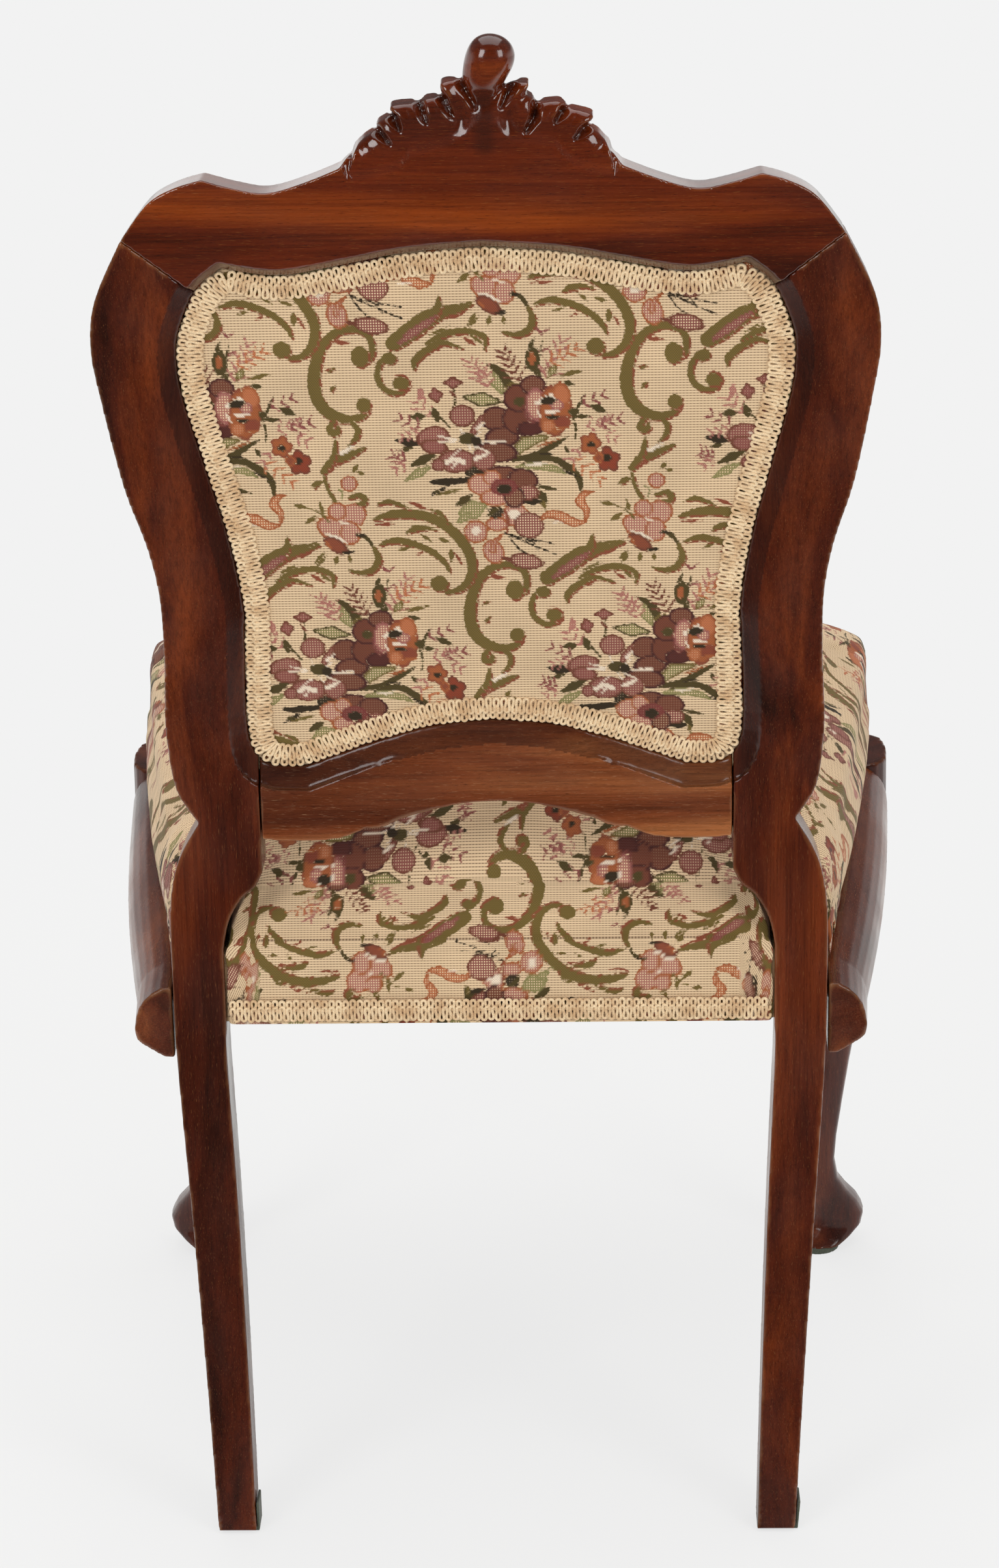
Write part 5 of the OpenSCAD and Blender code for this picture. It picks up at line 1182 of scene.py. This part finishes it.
def woven_tapestry(name, ground, line):
    """Jacquard tapestry: a cream ground ribbed by fine dark wefts, figures in dyed cotton
    with stepped edges, and half tones of crossed threads."""
    material, tree = new_material(name)
    cloth = add(tree, "UVMap", {"uv_map": "cloth"})
    parts = add(tree, "SeparateXYZ", Vector=cloth.outputs[0])
    weft, warp = wave(tree, parts.outputs[1], 1.75), wave(tree, parts.outputs[0], 1.05)
    thread_noise = add(tree, "Mapping", Vector=cloth.outputs[0], Scale=(60, 300, 1))
    slub = add(tree, "TexNoise", Vector=thread_noise.outputs[0], Scale=1.0, Detail=3.0)
    pick = add(tree, "VectorMath", {"operation": "SNAP"}, i0=cloth.outputs[0], i1=(0.018, 0.00875, 1.0))
    tooth = add(tree, "TexWhiteNoise", {"noise_dimensions": "2D"}, Vector=pick.outputs[0])
    stepped = add(tree, "Math", {"operation": "MULTIPLY_ADD"}, i0=tooth.outputs[0], i1=0.9, i2=-0.45)
    edge = add(tree, "Attribute", {"attribute_name": "edge"})
    shaken = add(tree, "Math", {"operation": "ADD"}, i0=edge.outputs["Fac"], i1=stepped.outputs[0])
    figured = add(tree, "MapRange", Value=shaken.outputs[0], From_Min=0.25, From_Max=-0.25)
    line_mask = add(tree, "MapRange", Value=weft, From_Min=0.1, From_Max=0.9)
    dashes = wave(tree, parts.outputs[0], 2.1)
    dash_mask = add(tree, "MapRange", Value=dashes, From_Min=-0.6, From_Max=0.6, To_Min=0.55, To_Max=1.0)
    lines = add(tree, "Math", product, i0=line_mask.outputs[0], i1=dash_mask.outputs[0])
    lines = add(tree, "Math", product, i0=lines.outputs[0], i1=0.82)
    base = blend_colour(tree, "MIX", lines.outputs[0], linear(ground), linear(line))
    dye = add(tree, "Attribute", {"attribute_name": "dye"}).outputs["Color"]
    threads = add(tree, "Math", product, i0=weft, i1=warp)
    threads = add(tree, "MapRange", Value=threads.outputs[0], From_Min=-1.0)
    speckle = ramp(tree, threads.outputs[0], (0.25, grey(0.6)), (0.75, grey(1.12)))
    dye = blend_colour(tree, "MULTIPLY", 1.0, dye, speckle)
    crossed = add(tree, "Math", largest, i0=wave(tree, parts.outputs[0], 1.6),
                  i1=wave(tree, parts.outputs[1], 1.75))
    holes = add(tree, "MapRange", Value=crossed.outputs[0], From_Min=0.35, From_Max=-0.25)
    hatched = add(tree, "Attribute", {"attribute_name": "hatched"})
    holes = add(tree, "Math", product, i0=holes.outputs[0], i1=hatched.outputs["Fac"])
    dye = blend_colour(tree, "MIX", holes.outputs[0], dye, linear(ground))
    colour = blend_colour(tree, "MIX", figured.outputs[0], base, dye)
    soil = add(tree, "TexNoise", Vector=cloth.outputs[0], Scale=2.2, Detail=4.0)
    shade = ramp(tree, soil.outputs[0], (0.3, grey(0.8)), (0.7, grey(1.04)))
    colour = blend_colour(tree, "MULTIPLY", 0.6, colour, shade)
    scaled = {"operation": "MULTIPLY_ADD"}
    height = add(tree, "Math", scaled, i0=weft, i1=-0.5, i2=slub.outputs[0])
    height = add(tree, "Math", scaled, i0=figured.outputs[0], i1=0.5, i2=height.outputs[0])
    relief = add(tree, "Bump", Strength=0.35, Distance=0.0004, Height=height.outputs[0])
    cotton = add(tree, "BsdfPrincipled", Base_Color=colour, Roughness=0.85, Normal=relief.outputs[0],
                 Sheen_Weight=0.12, Specular_IOR_Level=0.2)
    add(tree, "OutputMaterial", Surface=cotton.outputs[0])
    return material


tapestry = woven_tapestry("woven_cotton_tapestry", "#dfc29c", "#5c3d27")

# Outside cover of the back
# A flat piece of the tapestry, stretched over the rear of the frame and tacked down in the
# rebate, under the braid. The back's own plane gives its coordinates.

cover_face = max(Vector(v.co).dot(back_out) for v in nodes["back_cover"].data.vertices)
pattern_zero = 0.757


def inside(line, points):
    """Which points lie within a closed line, both as two columns."""
    x, y = points[:, 0], points[:, 1]
    found = np.zeros(len(points), bool)
    for (x1, y1), (x2, y2) in zip(line, np.roll(line, -1, 0)):
        if y1 == y2:
            continue
        crosses = (y1 > y) != (y2 > y)
        found ^= crosses & (x < (x2 - x1) * (y - y1) / (y2 - y1) + x1)
    return found


def back_panel(spacing, face, line, thick):
    """A sheet of cloth cut to a line, in the plane of the back."""
    plan = flat_of(line)
    corner, far = plan.min(0), plan.max(0)
    count = np.ceil((far - corner) / spacing).astype(int)
    made = bmesh.new()
    bmesh.ops.create_grid(made, x_segments=int(count[0]), y_segments=int(count[1]), size=0.5)
    bmesh.ops.scale(made, vec=(far[0] - corner[0], far[1] - corner[1], 1), verts=made.verts)
    bmesh.ops.translate(made, vec=((far[0] + corner[0]) / 2, (far[1] + corner[1]) / 2, 0), verts=made.verts)
    middles = np.array([f.calc_center_median()[:2] for f in made.faces])
    within = inside(plan, middles)
    bmesh.ops.delete(made, geom=[f for f, kept in zip(made.faces, within) if not kept], context="FACES")
    base = Matrix((Vector((1, 0, 0)), back_up, back_out)).transposed().to_4x4()
    base.translation = back_out * face
    bmesh.ops.transform(made, matrix=base, verts=made.verts)
    rim = [e for e in made.edges if e.is_boundary]
    edge = bmesh.ops.extrude_edge_only(made, edges=rim)["geom"]
    foot = [v for v in edge if isinstance(v, bmesh.types.BMVert)]
    bmesh.ops.translate(made, vec=back_out * -thick, verts=foot)
    bmesh.ops.contextual_create(made, geom=[e for e in made.edges if e.is_boundary])
    bmesh.ops.recalc_face_normals(made, faces=made.faces)
    return made


cover_thick = 0.0012
piece = add_object("back_cover_tapestry", back_panel(0.00125, cover_face, outer_line, cover_thick))
cover(piece, tapestry)
points = points_of(piece.data)
weave(piece.data, np.stack([-points[:, 0], points @ np.array(back_up) - pattern_zero], 1) * 1000)
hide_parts("back_cover")
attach(piece, "root")

# Braid round the back
# A furnishing braid about 16 mm wide, of two thick soft cords that run to and fro in loops
# and lock in the middle. It is glued down over the tacks.


def mid_line(outer, inner):
    """The line half way between two closed lines."""
    dense = even_line(inner, 0.001)[0]
    source = even_line(outer, 0.002)[0]
    near = dense[np.array([np.argmin(((dense - p) ** 2).sum(1)) for p in source])]
    middle = (source + near) / 2
    for _ in range(6):
        middle = 0.5 * middle + 0.25 * (np.roll(middle, 1, 0) + np.roll(middle, -1, 0))
    return middle


def cord_mesh(lines, radius, closed):
    """Round cords along lines, as one mesh."""
    data = bpy.data.curves.new("cord", "CURVE")
    data.dimensions = "3D"
    data.bevel_depth = radius
    data.bevel_resolution = 1
    data.use_fill_caps = True
    for line in lines:
        spline = data.splines.new("POLY")
        spline.points.add(len(line) - 1)
        spline.points.foreach_set("co", np.hstack([line, np.ones((len(line), 1))]).astype(np.float32).ravel())
        spline.use_cyclic_u = closed
    holder = bpy.data.objects.new("cord", data)
    bpy.context.collection.objects.link(holder)
    bpy.context.view_layer.update()
    made = bpy.data.meshes.new_from_object(holder.evaluated_get(bpy.context.evaluated_depsgraph_get()))
    bpy.data.objects.remove(holder)
    return made


loop_pitch, braid_wide, cord_radius = 0.0046, 0.0162, 0.00102


def braid_cords(middle, out, closed):
    """The two cords of a braid laid along a line. Each runs to and fro in round loops, one
    with its loops on the outer edge, one on the inner, and they lock in the middle."""
    steps = 18
    if closed:
        path, length = even_line(middle, loop_pitch / steps)
    else:
        length = float(np.linalg.norm(middle[-1] - middle[0]))
        count = int(round(length / loop_pitch)) * steps
        path = middle[0] + (middle[-1] - middle[0]) * np.linspace(0, 1, count + 1)[:, None]
    if closed:
        ahead = np.roll(path, -1, 0) - np.roll(path, 1, 0)
    else:
        ahead = np.tile(middle[-1] - middle[0], (len(path), 1))
    ahead /= np.linalg.norm(ahead, axis=1)[:, None]
    out = np.array(out)
    aside = np.cross(ahead, out)
    loops = round(length / loop_pitch)
    turn = np.arange(len(path)) / len(path) * 2 * math.pi * loops
    cords = []
    for hand, inner, over in ((-1, -0.0012, 0.0004), (1, -0.0026, -0.0008)):
        reach = braid_wide / 2 - 0.0010
        phase = turn + hand * math.pi / 2
        across = (reach + inner) / 2 + (reach - inner) / 2 * np.cos(phase)
        bulge = 0.0009 * np.sin(2 * phase)
        uneven = 0.0003 * np.sin(0.37 * turn + hand) + 0.0002 * np.sin(0.113 * turn)
        lift = 0.0013 + over * np.cos(phase) + 0.0002 * np.sin(phase)
        shift = aside * (hand * (across + uneven))[:, None] + ahead * bulge[:, None]
        cords.append(path + shift + out * lift[:, None])
    return cords


def twisted_yarn(name, light, dark):
    """Soft matt cotton yarn: fine fibres and faded blotches."""
    material, tree = new_material(name)
    place = add(tree, "TexCoord")
    fibre = add(tree, "TexNoise", Vector=place.outputs["Object"], Scale=1400.0, Detail=3.0, Roughness=0.7)
    blotch = add(tree, "TexNoise", Vector=place.outputs["Object"], Scale=90.0, Detail=3.0)
    colour = ramp(tree, blotch.outputs[0], (0.35, dark), (0.6, light))
    shade = ramp(tree, fibre.outputs[0], (0.3, grey(0.6)), (0.65, grey(1.2)))
    colour = blend_colour(tree, "MULTIPLY", 0.8, colour, shade)
    relief = add(tree, "Bump", Strength=0.6, Distance=0.0003, Height=fibre.outputs[0])
    yarn = add(tree, "BsdfPrincipled", Base_Color=colour, Roughness=0.8, Normal=relief.outputs[0],
               Sheen_Weight=0.2, Specular_IOR_Level=0.25)
    add(tree, "OutputMaterial", Surface=yarn.outputs[0])
    return material


braid_yarn = twisted_yarn("twisted_cotton_braid", "#ebd0a9", "#d0ac82")


def lay_braid(name, node, middle, out, closed):
    """Lays a braid along a line, in a packed braid's place."""
    made = bmesh.new()
    cords = cord_mesh(braid_cords(middle, out, closed), cord_radius, closed)
    made.from_mesh(cords)
    bpy.data.meshes.remove(cords)
    bmesh.ops.remove_doubles(made, verts=made.verts, dist=1e-7)
    bmesh.ops.recalc_face_normals(made, faces=made.faces)
    laid = add_object(name, made)
    cover(laid, braid_yarn)
    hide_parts(node)
    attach(laid, "root")


middle = mid_line(outer_line, inner_line)
middle += np.array(back_out) * (cover_face - float((middle @ np.array(back_out)).mean()))
lay_braid("back_braid_cords", "back_braid", middle, back_out, True)

# Front pad and braid of the back
# Curled hair on hessian under the same tapestry, full in the middle, with the braid round
# its edge in the front rebate.


def refine(piece):
    """Divides each face of a piece in four, with a rounder skin."""
    finer = piece.modifiers.new("finer", "SUBSURF")
    finer.levels = finer.render_levels = 1
    apply_modifiers(piece)


pad = add_object("back_pad_tapestry", merged_copy("back_pad"))
fuse(pad, 0.004)
refine(pad)
ease_skin(pad.data, 3)
cover(pad, tapestry)
points = points_of(pad.data)
weave(pad.data, np.stack([points[:, 0], points @ np.array(back_up) - pattern_zero], 1) * 1000)
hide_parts("back_pad")
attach(pad, "root")
front_outer, front_inner = ring_lines("front_back_braid", -back_out)[:2]
middle = mid_line(front_outer, front_inner)
middle += np.array(back_out) * 0.0021
lay_braid("front_braid_cords", "front_back_braid", middle, -back_out, True)

# Seat cushion
# Hair stuffing under the tapestry, domed by the springs. The cover is cut in one piece,
# pulled down over the rails and pleated at the front corners.


def stuff(piece, held, most, shrink):
    """Fills a cover under pressure for 20 frames of cloth simulation. Held points stay."""
    before = points_of(piece.data)
    set_points(piece.data, before - normals_of(piece.data) * (shrink * (1 - held))[:, None])
    group = piece.vertex_groups.new(name="held")
    for level in (0.5, 1.0):
        group.add(np.nonzero(np.abs(held - level) <= 0.25)[0].tolist(), level, "REPLACE")
    cloth = piece.modifiers.new("stuffing", "CLOTH")
    cloth.settings.quality = 5
    cloth.settings.mass = 0.3
    cloth.settings.tension_stiffness = cloth.settings.compression_stiffness = 25
    cloth.settings.bending_stiffness = 1.5
    cloth.settings.use_pressure = True
    cloth.settings.uniform_pressure_force = 4
    cloth.settings.vertex_group_mass = "held"
    cloth.settings.effector_weights.gravity = 0
    cloth.collision_settings.use_collision = False
    scene = bpy.context.scene
    for frame_number in range(1, 21):
        scene.frame_set(frame_number)
    apply_modifiers(piece)
    scene.frame_set(1)
    after = points_of(piece.data)
    moved = after - before
    far = np.linalg.norm(moved, axis=1)
    moved *= (np.minimum(far, most) / np.maximum(far, 1e-9))[:, None]
    set_points(piece.data, before + moved)


def wrapped(points, rows, halves, roll, top):
    """Cloth coordinates of a cover drawn over a seat: flat on top, then down its walls.
    The seat's half width is given at rows from front to rear."""
    rear = points[:, 1].max() - roll
    front = points[:, 1].min() + roll
    half = np.interp(points[:, 1], rows, halves) - roll
    core = np.stack([np.clip(points[:, 0], -half, half), np.clip(points[:, 1], front, rear)], 1)
    past = points[:, :2] - core
    size = np.abs(past)
    drop = np.maximum(top - points[:, 2], 0)[:, None] * size / np.maximum(size.sum(1), 1e-6)[:, None]
    return core + np.sign(past) * (size + drop - 0.43 * np.minimum(size, drop))


# The flap at the rear hangs between two planes, and the cover lies on top of the rear rail.
# Both are thickened for the fusing, which would lose so thin a skin, and pressed back after it
flap_inner, flap_outer, flap_more = 0.1628, 0.1651, 0.009
rail_top, rail_more = 0.3915, 0.008
# Where the middle of the seat lies on the pattern, in mm
seat_on_pattern = np.array([-77.0, -102.0])
seat = add_object("seat_cushion_tapestry", merged_copy("seat_cushion"))
points = points_of(seat.data)
points[points[:, 1] > flap_outer - 0.0008, 1] += flap_more
on_rail = (points[:, 1] > 0.135) & (np.abs(points[:, 2] - rail_top) < 0.0012)
points[on_rail, 2] -= rail_more
set_points(seat.data, points)
fuse(seat, 0.0045)
points = points_of(seat.data)
flap = points[:, 1] > flap_inner
pressed = (flap_outer - flap_inner) / (flap_outer - flap_inner + flap_more)
points[flap, 1] = flap_inner + (points[flap, 1] - flap_inner) * pressed
over_rail = (points[:, 1] > 0.139) & (points[:, 1] < flap_inner)
on_rail = over_rail & (points[:, 2] > 0.375) & (points[:, 2] < rail_top)
points[on_rail, 2] = rail_top
set_points(seat.data, points)
seat_rows = np.linspace(points[:, 1].min(), points[:, 1].max(), 24)
seat_half = np.array([np.abs(points[np.abs(points[:, 1] - y) < 0.012, 0]).max() for y in seat_rows])
upward = normals_of(seat.data)[:, 2]
rim = (upward > 0.7) & (points[:, 1] > points[:, 1].max() - 0.045)
seat_top = float(np.median(points[rim, 2]))
cloth_at = wrapped(points, seat_rows, seat_half, 0.022, seat_top)
held = np.where((upward < -0.3) | (points[:, 2] < seat_top - 0.05), 1.0, 0.0)
stuff(seat, held, 0.008, 0.002)
store = seat.data.attributes.new("flat", "FLOAT_VECTOR", "POINT")
cloth_at = np.hstack([cloth_at, np.zeros((len(cloth_at), 1))])
store.data.foreach_set("vector", cloth_at.astype(np.float32).ravel())
refine(seat)
ease_skin(seat.data, 2)
points = points_of(seat.data)
flap = (normals_of(seat.data)[:, 1] > 0.3) & (points[:, 1] > 0.15) & (points[:, 2] < 0.398)
points[flap, 1] = np.maximum(points[flap, 1], flap_outer)
set_points(seat.data, points)
cover(seat, tapestry)
cloth_at = np.empty(len(seat.data.vertices) * 3, np.float32)
seat.data.attributes["flat"].data.foreach_get("vector", cloth_at)
cloth_at = cloth_at.reshape(-1, 3)[:, :2].astype(float)
weave(seat.data, cloth_at * 1000 + seat_on_pattern)
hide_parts("seat_cushion")
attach(seat, "root")
low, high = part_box("seat_braid")
y, z = low[1] + 0.0002, (low[2] + high[2]) / 2
line = np.array([[high[0] - 0.003, y, z], [low[0] + 0.003, y, z]])
lay_braid("seat_braid_cords", "seat_braid", line, (0, 1, 0), False)

# Felts
# Adhesive felt under the four feet, dark grey-green, with a soft furred edge.


def pressed_felt(name, light, dark):
    """Pressed wool felt: matted fibres with no direction."""
    material, tree = new_material(name)
    place = add(tree, "TexCoord")
    fibre = add(tree, "TexNoise", Vector=place.outputs["Object"], Scale=1800.0, Detail=4.0, Roughness=0.7)
    colour = ramp(tree, fibre.outputs[0], (0.35, dark), (0.65, light))
    relief = add(tree, "Bump", Strength=0.7, Distance=0.0004, Height=fibre.outputs[0])
    wool = add(tree, "BsdfPrincipled", Base_Color=colour, Roughness=0.95, Normal=relief.outputs[0],
               Sheen_Weight=0.3)
    add(tree, "OutputMaterial", Surface=wool.outputs[0])
    return material


felt = pressed_felt("pressed_wool_felt", "#5b6150", "#33382c")
for name in ("front_felt_discs", "rear_felt_pads"):
    piece = add_object(name + "_pressed", merged_copy(name))
    fuse(piece, 0.0006)
    ease_skin(piece.data, 2)
    cover(piece, felt)
    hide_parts(name)
    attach(piece, "root")
